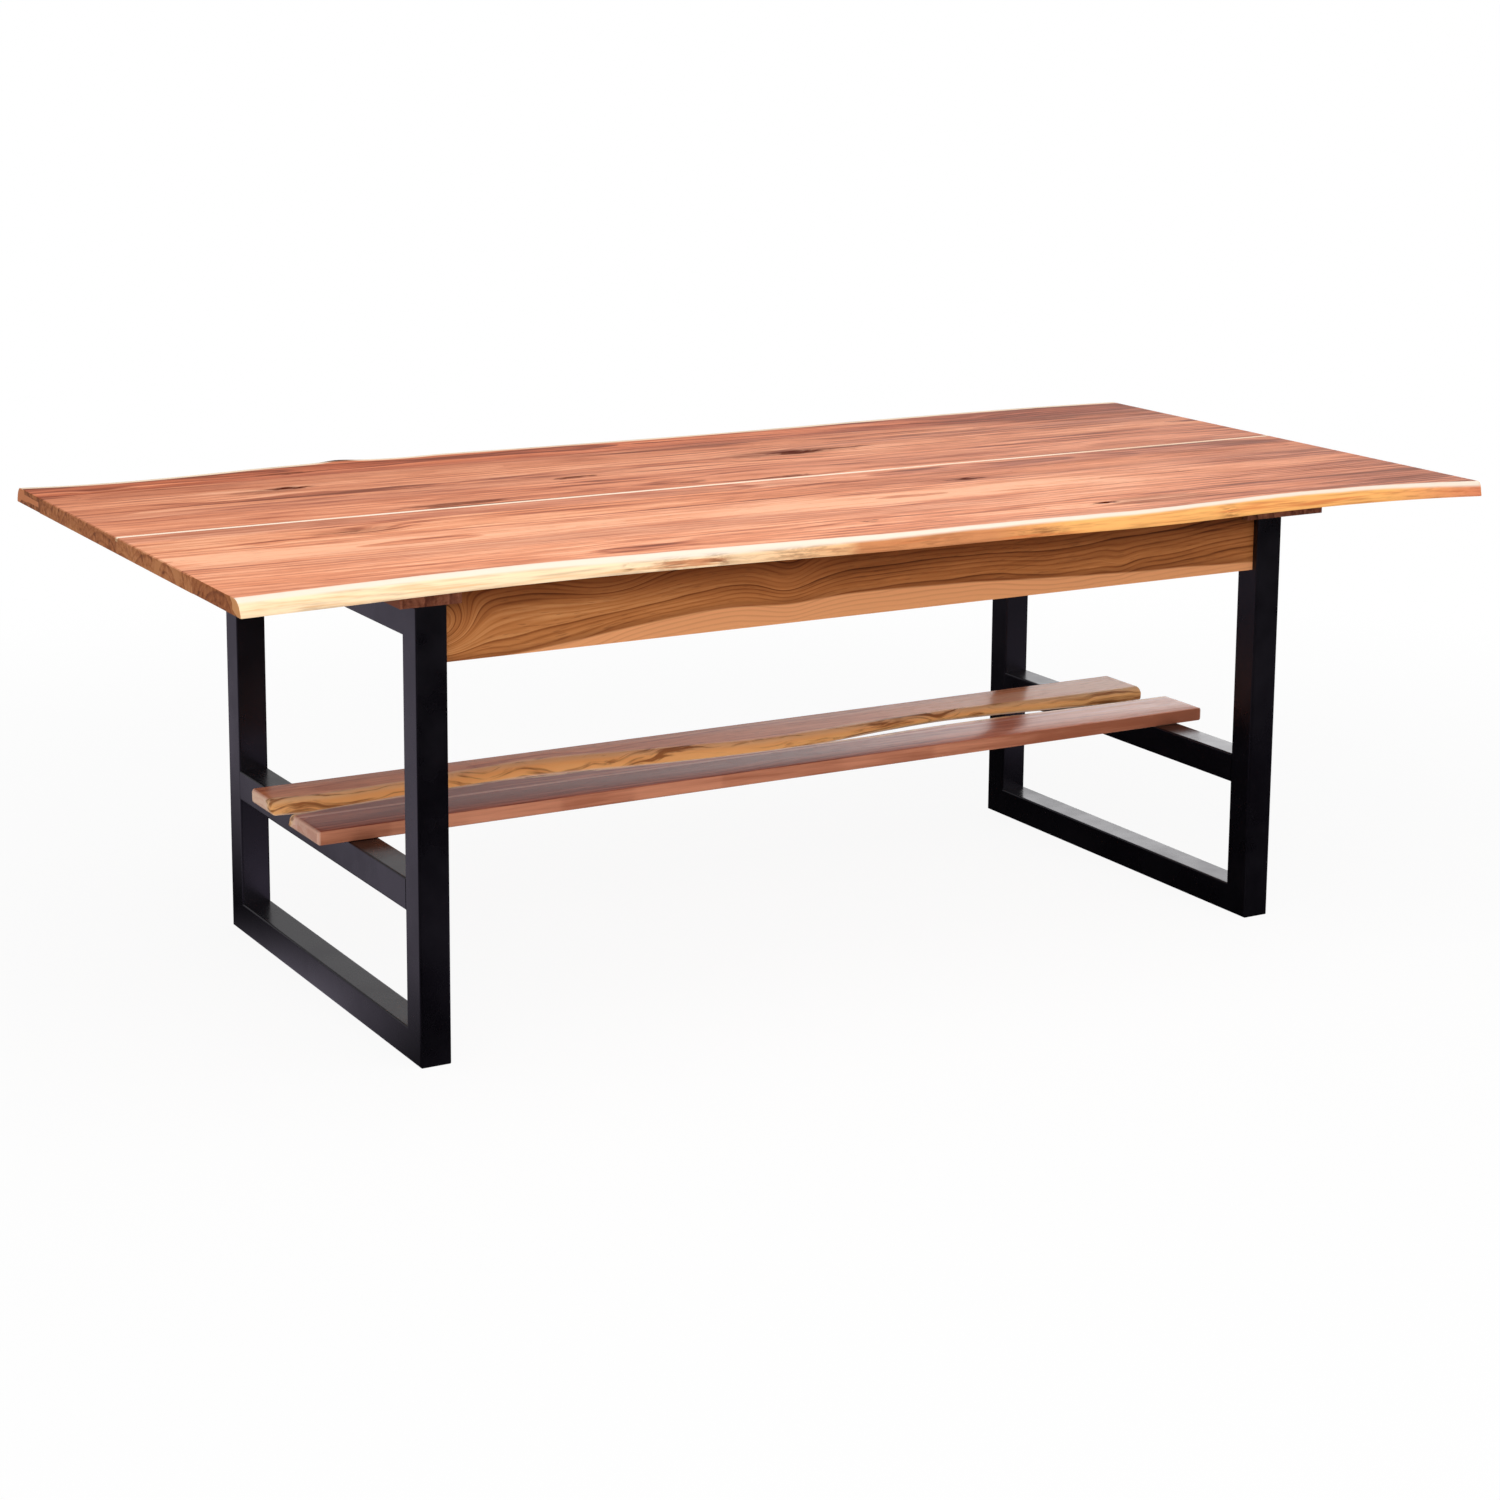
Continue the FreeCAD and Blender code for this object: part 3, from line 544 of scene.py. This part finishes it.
def paintShelfEdge(tree, place, grain, colour, ends):
    down, at, strip = measure(tree, "rimGap"), axes(tree, place), shelfPaint["strip"]
    front = ranged(tree, at[1], strip, strip + 0.002, 0.7, 0.0)
    front = calc(tree, "MULTIPLY", front, ranged(tree, at[0], 0.1, 0.5, 1, 0.1))
    colour = blend(tree, front, colour, blend(tree, 1.0, colour, shelfPaint["stripShade"], "MULTIPLY"))
    beside = calc(tree, "ABSOLUTE", calc(tree, "SUBTRACT", at[1], strip + 0.005))
    colour = blend(tree, ranged(tree, beside, 0.002, 0.006, 0.55, 0.0), colour, shelfPaint["line"])
    flow = cloud(tree, stretch(tree, place, (8.0, 2.0, 2.0)), 1.0, 2.0, 0.5)
    flowing = pushed(tree, place, shelfPaint["flow"], calc(tree, "SUBTRACT", flow, 0.5))
    streak = cloud(tree, stretch(tree, flowing, (4.0, 62.0, 96.0)), 1.0, 4.0, 0.62, 0.5)
    side = blend(tree, ranged(tree, down, 0.004, 0.016), shelfPaint["rim"], shelfPaint["edge"])
    side = blend(tree, ranged(tree, streak, 0.48, 0.65, 0, 0.8), side, shelfPaint["streak"])
    side = blend(tree, ranged(tree, down, 0.026, 0.030, 0, 0.7), side, shelfPaint["foot"])
    wander = swing(tree, cloud(tree, stretch(tree, place, (7.0, 1.0, 1.0)), 1.0, 2.0, 0.5), 0.024)
    blocks = cloud(tree, stretch(tree, place, (2.3, 0.1, 0.1), move=(3.7, 0, 0)), 1.0, 1.0, 0.6)
    speck = calc(tree, "ADD", grain["fibre"], ranged(tree, blocks, 0.49, 0.51, -0.07, 0.07))
    speck = calc(tree, "ADD", speck, ranged(tree, at[0], 0.25, 0.6, 0, 0.4))
    tan = blend(tree, ranged(tree, speck, 0.2, 0.9), shelfPaint["sawnPale"], shelfPaint["sawn"])
    colour = blend(tree, faces(tree, 1, 0.6, 0.9), colour, tan)
    # painted highlight: pale lines along the rounded-over ends of the shelf boards
    eased = calc(tree, "MULTIPLY", measure(tree, "arris"), 0.6)
    colour = blend(tree, eased, colour, shelfPaint["arris"])
    return blend(tree, ranged(tree, calc(tree, "ADD", down, wander), -0.011, -0.003), colour, side)


shelfLook = {
    **topLook, "ring": 0.010, "toneShare": 0.8, "ringsShare": 0.2, "fibreShare": 0.55,
    "streaksShare": 0.14, "specular": 0.05, "mauveShare": 0.0, "gloss": (0.15, 0.25),
    # far below zero: the boards are lighter towards the right end, a painted reflection
    "far": -0.30, "farFrom": (0.0, 0.85),
    "colours": ((0.10, paint(252, 206, 174)), (0.36, paint(242, 174, 132)),
                (0.64, paint(212, 138, 102)), (0.92, paint(148, 84, 62))),
    "endColours": ((0.15, paint(255, 232, 208)), (0.5, paint(255, 218, 190)),
                   (0.9, paint(240, 186, 156))),
    "poreColour": paint(92, 56, 48), "paint": paintShelfEdge}
shelfWoods = {
    "back_shelf_wood": woodMaterial("back_shelf_wood", {
        **shelfLook, "seed": (5.2, 2.8, 6.9), "pith": (0, -0.10, -0.24), "turn": (0, 0.012, 0.010)}),
    "front_shelf_wood": woodMaterial("front_shelf_wood", {
        **shelfLook, "seed": (8.1, 7.2, 3.3), "pith": (0, 0.06, -0.24), "turn": (0, -0.010, 0.008),
        # a stronger painted reflection towards the right end of this board
        "shade": 0.38, "far": -0.6, "specular": 0.12, "tint": (0.95, 0.9, 1.05)}),
}


# Semi-gloss black paint on the steel tubes, with a fine spray texture and slightly worn gloss
framePaint = {
    "colour": paint(4, 3, 6), "worn": paint(10, 8, 13), "gloss": (0.22, 0.34), "specular": 0.46,
    "sheen": (0.9, 0.82, 1, 1)}


def makeFrameBlack():
    material, tree, shader = newMaterial("frame_black", framePaint["specular"])
    shader.inputs["Specular Tint"].default_value = framePaint["sheen"]
    place = objectPlace(tree)
    handled = cloud(tree, place, 7.0, 4.0, 0.6)
    spray = cloud(tree, place, 620.0, 2.0, 0.5)
    tree.links.new(blend(tree, ranged(tree, handled, 0.45, 0.75, 0, 0.6), framePaint["colour"],
                         framePaint["worn"]), shader.inputs["Base Color"])
    tree.links.new(ranged(tree, handled, 0.3, 0.7, *framePaint["gloss"]), shader.inputs["Roughness"])
    relief(tree, shader, spray, 0.06, 0.0003)
    return material


# Zinc on screws, bolts and brackets
def makeZinc(name, colour, spangle):
    material, tree, shader = newMaterial(name, 0.5)
    shader.inputs["Metallic"].default_value = 1.0
    place = objectPlace(tree)
    flakes = cloud(tree, place, spangle, 3.0, 0.6, 0.5)
    dull = tuple(shade * 0.6 for shade in colour[:3]) + (1,)
    spangled = blend(tree, ranged(tree, flakes, 0.35, 0.65), dull, colour)
    tree.links.new(spangled, shader.inputs["Base Color"])
    tree.links.new(ranged(tree, flakes, 0.3, 0.7, 0.28, 0.46), shader.inputs["Roughness"])
    relief(tree, shader, cloud(tree, place, 900.0, 2.0, 0.5), 0.08, 0.0002)
    return material


slots = {
    **staveWoods, **edgeWoods, **shelfWoods, "inlay_wood": inlayWood, "cleat_wood": cleatWood,
    "apron_wood": apronWood, "frame_black": makeFrameBlack(),
    "fastener_steel": makeZinc("fastener_steel", paint(196, 196, 200), 160.0),
    "bracket_steel": makeZinc("bracket_steel", paint(202, 202, 206), 70.0),
}
for part in frame["record"]["subparts"]:
    carrier = bpy.data.objects[part["node"]]
    for place in carrier.material_slots:
        place.material = slots[part["material_slot"]]
print("materials on CAD nodes:", len(slots))


# Boards with a natural edge. The edge is felt on the CAD board at edgeLevels, shares of its height, and
# then given its uneven surface. Drops are (back, down or up), flats are distances from the rim or the
# foot, and shares run from the joint to the foot or from the rim to the joint.
edgeLevels = (0, 0.06, 0.16, 0.30, 0.45, 0.60, 0.72, 0.82, 0.90, 0.96, 1)
edgeShape = {
    "skin": 0.0002, "endGap": 0.003, "rimDrop": (0.0004, 0.0003), "footDrop": (0.0006, 0.0002),
    "topFlats": (0.0025, 0.008), "underFlat": 0.003, "topShares": (0.2, 0.55, 1),
    "underShares": (0, 0.5, 0.85), "ringShrink": 0.35, "ringGap": -0.02, "ringMargin": 0.004}
smoothAngle = math.radians(32)


def feelEdge(node, outward, stations):
    cad = bpy.data.objects[node]
    low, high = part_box(node)
    skin, gap, inwards = edgeShape["skin"], edgeShape["endGap"], Vector((0, -outward, 0))
    edge = []
    for x in stations:
        x = max(low[0] + gap, min(high[0] - gap, x))
        column = []
        for share in edgeLevels:
            z = low[2] + skin + (high[2] - low[2] - 2 * skin) * share
            spot = cad.ray_cast(Vector((x, outward * 2, z)), inwards)[1]
            column.append(spot.y)
        edge.append(column)
    smooth = []
    for i in range(len(edge)):
        near = edge[max(0, i - 1):i + 2]
        smooth.append([sum(column[k] for column in near) / len(near) for k in range(len(edgeLevels))])
    return smooth


def naturalBoard(name, board):
    node, outward, ease = board["node"], board["outward"], board["ease"]
    low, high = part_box(node)
    joint, limit = (low[1], high[1]) if outward > 0 else (high[1], low[1])
    middle, half = (low[2] + high[2]) / 2, (high[2] - low[2]) / 2
    columns, rough, seed = board["columns"], board["rough"], board["seed"]
    tips = []
    for i in range(5):  # the ends are rounded over
        turn = math.radians(18 * i)
        # each tip: inset along, inset across, and how strong the painted highlight on its rounded arris
        # is
        tips.append((ease * (1 - math.cos(turn)), ease * (1 - math.sin(turn)), math.sin(2 * turn)))
    length = high[0] - low[0] - 2 * ease
    stations = [(low[0] + along, inset, arris) for along, inset, arris in tips]
    stations += [(low[0] + ease + length * i / columns, 0, 0) for i in range(columns + 1)]
    stations += [(high[0] - along, inset, arris) for along, inset, arris in reversed(tips)]
    edge = feelEdge(node, outward, [x for x, inset, arris in stations])
    sections, gaps = [], []
    for (x, eased, arris), felt in zip(stations, edge):
        side = []
        wavy = max(0, 0.5 + noise.noise(Vector((x * 6.5, 0, seed)))) * board["wavy"]
        for share, y in zip(edgeLevels, felt):
            z = low[2] + (high[2] - low[2]) * share
            belly = math.sin(math.pi * min(1, share * 1.15))  # the face dips, the arrises stay
            dent = noise.noise(Vector((x * 11, z * 45, seed))) * rough
            dent += noise.noise(Vector((x * 46, z * 130, seed + 9))) * rough * 0.35
            inset = max(0, dent + rough * 0.4) * max(0, belly) + wavy
            for at, reach, depth in board.get("wane", ()):  # bark has taken some of the lower edge away
                inset += depth * max(0, 1 - share / 0.55) * math.exp(-((x - at) / reach) ** 2)
            for at, reach, height in board.get("knobs", ()):
                inset -= height * (0.3 + 0.7 * share) * math.exp(-((x - at) / reach) ** 2)
            side.append((outward * min(outward * y - inset, outward * limit - edgeShape["skin"]), z))
        rimY, footY = side[-1][0], side[0][0]
        back, down = edgeShape["rimDrop"]
        side[-1] = (rimY - outward * back, high[2] - down)
        back, up = edgeShape["footDrop"]
        side[0] = (footY - outward * back, low[2] + up)
        under = [(joint + (footY - joint) * share, low[2]) for share in edgeShape["underShares"]]
        under.append((footY - outward * edgeShape["underFlat"], low[2]))
        upper = [(rimY - outward * flat, high[2]) for flat in edgeShape["topFlats"]]
        upper += [(rimY + (joint - rimY) * share, high[2]) for share in edgeShape["topShares"]]
        section = under + side + upper
        rimAt, footAt = len(under) + len(side) - 1, len(under)
        lengths = [0]
        for (y0, z0), (y1, z1) in zip(section, section[1:]):
            lengths.append(lengths[-1] + math.hypot(y1 - y0, z1 - z0))
        deep = lengths[rimAt] - lengths[footAt]
        gaps.append([lengths[rimAt] - length if length >= lengths[footAt] else
                     deep - 4 * (lengths[footAt] - length) for length in lengths])
        width = abs(rimY - joint)
        pivot, reach = ((joint + rimY) / 2, width / 2) if board["easeJoint"] else (joint, width)
        narrow, thin = 1 - eased / reach, 1 - eased / half
        sections.append([(pivot + (y - pivot) * narrow, middle + (z - middle) * thin)
                         for y, z in section])
    rows = len(sections[0]) - 1
    for end in (0, -1):  # an inner ring on each end face, so that its sapwood stays at the edge
        ring = []
        inner = min(outward * y for y, z in sections[end][footAt:rimAt + 1]) - board["endSap"]
        for y, z in sections[end]:
            y = outward * max(min(outward * y, inner), outward * joint + ease + edgeShape["ringMargin"])
            ring.append((y, middle + (z - middle) * edgeShape["ringShrink"]))
        at = 0 if end == 0 else len(sections)
        sections.insert(at, ring)
        gaps.insert(at, [edgeShape["ringGap"]] * len(ring))
        stations.insert(at, stations[end])
    last = len(stations) - 1
    bpy.ops.object.select_all(action="DESELECT")
    bpy.ops.mesh.primitive_grid_add(x_subdivisions=last, y_subdivisions=rows, size=2)
    piece = bpy.context.object
    piece.name = name
    mesh = piece.data
    mesh.attributes.new("rimGap", "FLOAT", "POINT")
    mesh.attributes.new("arris", "FLOAT", "POINT")
    home = {}
    for vertex in mesh.vertices:
        i = int((vertex.co.x + 1) / 2 * last + 0.5)
        j = int((vertex.co.y + 1) / 2 * rows + 0.5)
        vertex.co = (stations[i][0], *sections[i][j])
        mesh.attributes["rimGap"].data[vertex.index].value = gaps[i][j]
        mesh.attributes["arris"].data[vertex.index].value = stations[i][2]
        home[vertex.index] = (i, j)

    def pickJoint():  # the two long edges of the grid, that meet at the joint
        bpy.ops.object.mode_set(mode="EDIT")
        bpy.ops.mesh.select_mode(type="EDGE")
        bpy.ops.mesh.select_all(action="DESELECT")
        bpy.ops.object.mode_set(mode="OBJECT")
        for line in mesh.edges:
            (a, b), (c, d) = (home[k] for k in line.vertices)
            line.select = b == d and b in (0, rows) and 0 < min(a, c) and max(a, c) < last
        bpy.ops.object.mode_set(mode="EDIT")

    pickJoint()
    bpy.ops.mesh.bridge_edge_loops()
    bpy.ops.mesh.select_all(action="SELECT")
    bpy.ops.mesh.fill_holes(sides=0)
    bpy.ops.mesh.select_all(action="SELECT")
    bpy.ops.mesh.normals_make_consistent(inside=False)
    if board["easeJoint"]:
        pickJoint()
        bpy.ops.mesh.bevel(offset=board["easeJoint"], segments=3, affect="EDGES", clamp_overlap=True)
    bpy.ops.object.mode_set(mode="OBJECT")
    bpy.ops.object.shade_smooth_by_angle(angle=smoothAngle)
    mesh.materials.clear()
    mesh.materials.append(slots[board["slot"]])
    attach(piece, "root")
    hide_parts(node)
    print(name, "made,", len(mesh.polygons), "faces")


# outward is the natural edge's side, rough and wavy are depths, knobs and wane are (x, reach, size)
frontEdgeBoard = {
    "node": "front_edge_stave", "slot": "front_edge_wood", "outward": -1, "columns": 260,
    "rough": 0.0010, "wavy": 0.0, "seed": 3.0, "ease": 0.0012, "easeJoint": 0, "endSap": 0.010}
backEdgeBoard = {
    "node": "back_edge_stave", "slot": "back_edge_wood", "outward": 1, "columns": 300,
    "rough": 0.0010, "wavy": 0.0, "seed": 17.0, "ease": 0.0012, "easeJoint": 0, "endSap": 0.010,
    "knobs": ((-0.535, 0.030, 0.015), (-0.430, 0.060, -0.009))}
backShelfBoard = {
    "node": "back_shelf_board", "slot": "back_shelf_wood", "outward": -1, "columns": 240,
    "rough": 0.0030, "wavy": 0.006, "seed": 31.0, "ease": 0.0055, "easeJoint": 0.0022, "endSap": 0.006,
    "wane": ((0.43, 0.32, 0.0315),)}
frontShelfBoard = {
    "node": "front_shelf_board", "slot": "front_shelf_wood", "outward": 1, "columns": 240,
    "rough": 0.0030, "wavy": 0.003, "seed": 47.0, "ease": 0.0055, "easeJoint": 0.0022, "endSap": 0.006}
naturalBoard("frontEdgeBoard", frontEdgeBoard)
naturalBoard("backEdgeBoard", backEdgeBoard)
naturalBoard("backShelfBoard", backShelfBoard)
naturalBoard("frontShelfBoard", frontShelfBoard)


# Square tubes of the end frames, with rounded corners, mitred where rails and uprights meet
tubeShape = {"radius": 0.0026, "steps": 4, "flat": 0.0012}  # flat: level sides beside the corners


def roundTube(node):
    low, high = (Vector(corner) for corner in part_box(node))
    upright = "upright" in node
    along, across = (2, 1) if upright else (1, 2)
    middle = (low + high) / 2
    half = (high[across] - low[across]) / 2
    radius, steps = tubeShape["radius"], tubeShape["steps"]
    inner = half - radius
    points = 4 * (steps + 3)
    mitre = 0 if "mid" in node else -1 if "bottom" in node or "front" in node else 1  # the long side
    bpy.ops.object.select_all(action="DESELECT")
    bpy.ops.mesh.primitive_cylinder_add(vertices=points, radius=1, depth=2)
    piece = bpy.context.object
    words = node.split("_")
    piece.name = words[0] + "".join(word.title() for word in words[1:])
    for vertex in piece.data.vertices:
        i = int(math.atan2(vertex.co.x, vertex.co.y) / math.tau * points + points + 0.5) % points
        corner, step = divmod(i, steps + 3)
        turn = math.radians(90 * corner + 90 * min(max(step - 1, 0), steps) / steps)
        past = tubeShape["flat"] * ((step > steps + 1) - (step == 0))
        wide = inner * (1, -1, -1, 1)[corner] + radius * math.cos(turn) - past * math.sin(turn)
        deep = inner * (1, 1, -1, -1)[corner] + radius * math.sin(turn) + past * math.cos(turn)
        place = Vector(middle)
        place[0] += wide
        place[across] += deep
        cut = half - mitre * deep if mitre else 0
        place[along] = high[along] - cut if vertex.co.z > 0 else low[along] + cut
        vertex.co = place
    bpy.ops.object.mode_set(mode="EDIT")
    bpy.ops.mesh.select_all(action="SELECT")
    bpy.ops.mesh.normals_make_consistent(inside=False)
    bpy.ops.object.mode_set(mode="OBJECT")
    bpy.ops.object.shade_smooth_by_angle(angle=smoothAngle)
    piece.data.materials.clear()
    piece.data.materials.append(slots["frame_black"])
    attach(piece, "root")
    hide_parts(node)


for end in ("left", "right"):
    for tube in ("front_upright", "back_upright", "bottom_rail", "mid_rail", "top_rail"):
        roundTube(end + "_" + tube)
print("frame tubes made")


# White floor: it keeps a faint shadow near the table. The paint of the frames mirrors its pale places:
# a long field at the left, whose cardSide and cardDepth are (from, to, start, end) across and along it,
# and patches, which are (centre, reach, brightness). The room is brighter to the right, and its window
# is given like a patch, with a direction as its centre.
studio = {
    "floorSize": 80, "floorZ": -0.0006, "white": (0.86, 0.86, 0.86, 1), "mirrored": (0.90, 0.82, 1, 1),
    "shadow": 0.08, "shadowReach": (1.4, 3.2), "ambient": 0.42,
    "cardSide": (-1.02, -0.86, 0.54, 0.02), "cardSkew": 0.1, "cardDepth": (-0.9, 0.3, 0.10, 1.0),
    "patches": (
        ((-0.33, -0.62, 0), (0.18, 0.36, 1), 1.0), ((-0.66, 0.03, 0), (0.20, 0.28, 1), 0.9),
        ((1.26, -0.20, 0), (0.24, 0.28, 1), 0.8), ((1.60, -0.68, 0), (0.24, 0.28, 1), 0.8),
        ((2.06, -1.32, 0), (0.28, 0.32, 1), 0.8)),
    "brightSide": (0.868, -0.496, 0), "sheen": (-0.2, 0.12, 0.40, 1.0),
    "window": ((0.637, 0.732, 0.242), (0.17, 0.17, 0.17), 1.6)}


def seenRays(tree, path):  # rays that show a thing itself, not the light from it
    kinds = ("Is Glossy Ray", "Is Transmission Ray", "Is Camera Ray")
    return strongest(tree, [path.outputs[kind] for kind in kinds])


def mixShaders(tree, share, first, second):
    node = tree.nodes.new("ShaderNodeMixShader")
    tree.links.new(share, node.inputs[0])
    tree.links.new(first.outputs[0], node.inputs[1])
    tree.links.new(second.outputs[0], node.inputs[2])
    return node


def makeFloor():
    bpy.ops.object.select_all(action="DESELECT")
    bpy.ops.mesh.primitive_plane_add(size=studio["floorSize"], location=(0, 0, 0))
    floor = bpy.context.object
    floor.name = "paleFloor"
    material = bpy.data.materials.new("floorWhite")
    material.use_nodes = True
    tree = material.node_tree
    tree.nodes.remove(tree.nodes["Principled BSDF"])
    path = tree.nodes.new("ShaderNodeLightPath")
    place = objectPlace(tree)
    at = axes(tree, place)
    matt = tree.nodes.new("ShaderNodeBsdfDiffuse")
    matt.inputs["Color"].default_value = studio["white"]
    glow = tree.nodes.new("ShaderNodeEmission")
    skew = calc(tree, "MULTIPLY_ADD", at[1], studio["cardSkew"], at[0])
    pale = [calc(tree, "MULTIPLY", ranged(tree, skew, *studio["cardSide"]),
                 ranged(tree, at[1], *studio["cardDepth"]))]
    for centre, reach, bright in studio["patches"]:
        pale.append(calc(tree, "MULTIPLY", spotAt(tree, place, centre, reach), bright))
    mirrored = path.outputs["Is Glossy Ray"]
    strength = calc(tree, "ADD", calc(tree, "MULTIPLY", mirrored, strongest(tree, pale)),
                    calc(tree, "SUBTRACT", 1.0, mirrored))
    tree.links.new(strength, glow.inputs["Strength"])
    tree.links.new(blend(tree, mirrored, (1, 1, 1, 1), studio["mirrored"]), glow.inputs["Color"])
    away = calcVector(tree, "LENGTH", place, out=1)
    share = calc(tree, "MULTIPLY", ranged(tree, away, *studio["shadowReach"], 1, 0), studio["shadow"])
    share = calc(tree, "MULTIPLY", share, path.outputs["Is Camera Ray"])
    shown = mixShaders(tree, share, glow, matt)
    both = mixShaders(tree, seenRays(tree, path), matt, shown)
    tree.links.new(both.outputs[0], tree.nodes["Material Output"].inputs["Surface"])
    floor.data.materials.append(material)
    floor.data.transform(Matrix.Translation((0, 0, studio["floorZ"])))


def makeWorld():
    world = bpy.data.worlds.new("studioWhite")
    world.use_nodes = True
    bpy.context.scene.world = world
    tree = world.node_tree
    path = tree.nodes.new("ShaderNodeLightPath")
    ambient = studio["ambient"]
    strength = calc(tree, "MULTIPLY_ADD", seenRays(tree, path), 1 - ambient, ambient)
    heading = tree.nodes.new("ShaderNodeTexCoord").outputs["Generated"]
    side = calcVector(tree, "DOT_PRODUCT", heading, studio["brightSide"], out=1)
    centre, reach, bright = studio["window"]
    window = spotAt(tree, heading, centre, reach)
    sheen = calc(tree, "MULTIPLY_ADD", window, bright, ranged(tree, side, *studio["sheen"]))
    change = calc(tree, "SUBTRACT", sheen, 1.0)  # for mirrored rays only
    sheen = calc(tree, "MULTIPLY_ADD", change, path.outputs["Is Glossy Ray"], 1.0)
    strength = calc(tree, "MULTIPLY", strength, sheen)
    back = tree.nodes["Background"]
    back.inputs["Color"].default_value = (1, 1, 1, 1)
    tree.links.new(strength, back.inputs["Strength"])


lamps = {
    "overheadSoftbox": {
        "at": (-0.3, -0.9, 3.0), "aim": (0, 0, 0.6), "wide": 4.4, "deep": 2.8, "watts": 62},
    "frontFill": {
        "at": (-1.4, -4.4, 2.7), "aim": (0, 0, 0.5), "wide": 3.6, "deep": 1.8, "watts": 70},
}


def makeLamps():
    for name, lamp in lamps.items():
        data = bpy.data.lights.new(name, "AREA")
        data.shape = "RECTANGLE"
        data.size, data.size_y = lamp["wide"], lamp["deep"]
        data.energy = lamp["watts"]
        thing = bpy.data.objects.new(name, data)
        bpy.context.scene.collection.objects.link(thing)
        thing.location = lamp["at"]
        aim = Vector(lamp["aim"]) - Vector(lamp["at"])
        thing.rotation_euler = aim.to_track_quat("-Z", "Y").to_euler()


# Camera solved from the photo's straight edges
view = {"yaw": 29.76, "pitch": 10.50, "roll": 0.442, "lens": 74.76, "sensor": 36,
        "shiftY": -0.15, "at": (-2.570, -4.468, 1.646)}


def makeCamera():
    data = bpy.data.cameras.new("photoCamera")
    data.lens = view["lens"]
    data.sensor_width = view["sensor"]
    data.shift_y = view["shiftY"]
    camera = bpy.data.objects.new("photoCamera", data)
    bpy.context.scene.collection.objects.link(camera)
    yaw, pitch, roll = (math.radians(view[k]) for k in ("yaw", "pitch", "roll"))
    right = Vector((math.cos(yaw), -math.sin(yaw), 0))
    ahead = Vector((math.sin(yaw), math.cos(yaw), 0))
    look = ahead * math.cos(pitch) - Vector((0, 0, math.sin(pitch)))
    up = ahead * math.sin(pitch) + Vector((0, 0, math.cos(pitch)))
    side = right * math.cos(roll) + up * math.sin(roll)
    top = up * math.cos(roll) - right * math.sin(roll)
    turn = Matrix((side, top, -look)).transposed()
    camera.matrix_world = Matrix.Translation(view["at"]) @ turn.to_4x4()
    bpy.context.scene.camera = camera


makeFloor()
makeWorld()
makeLamps()
makeCamera()
bpy.context.scene.view_settings.view_transform = "Standard"
print("floor, light and camera set")
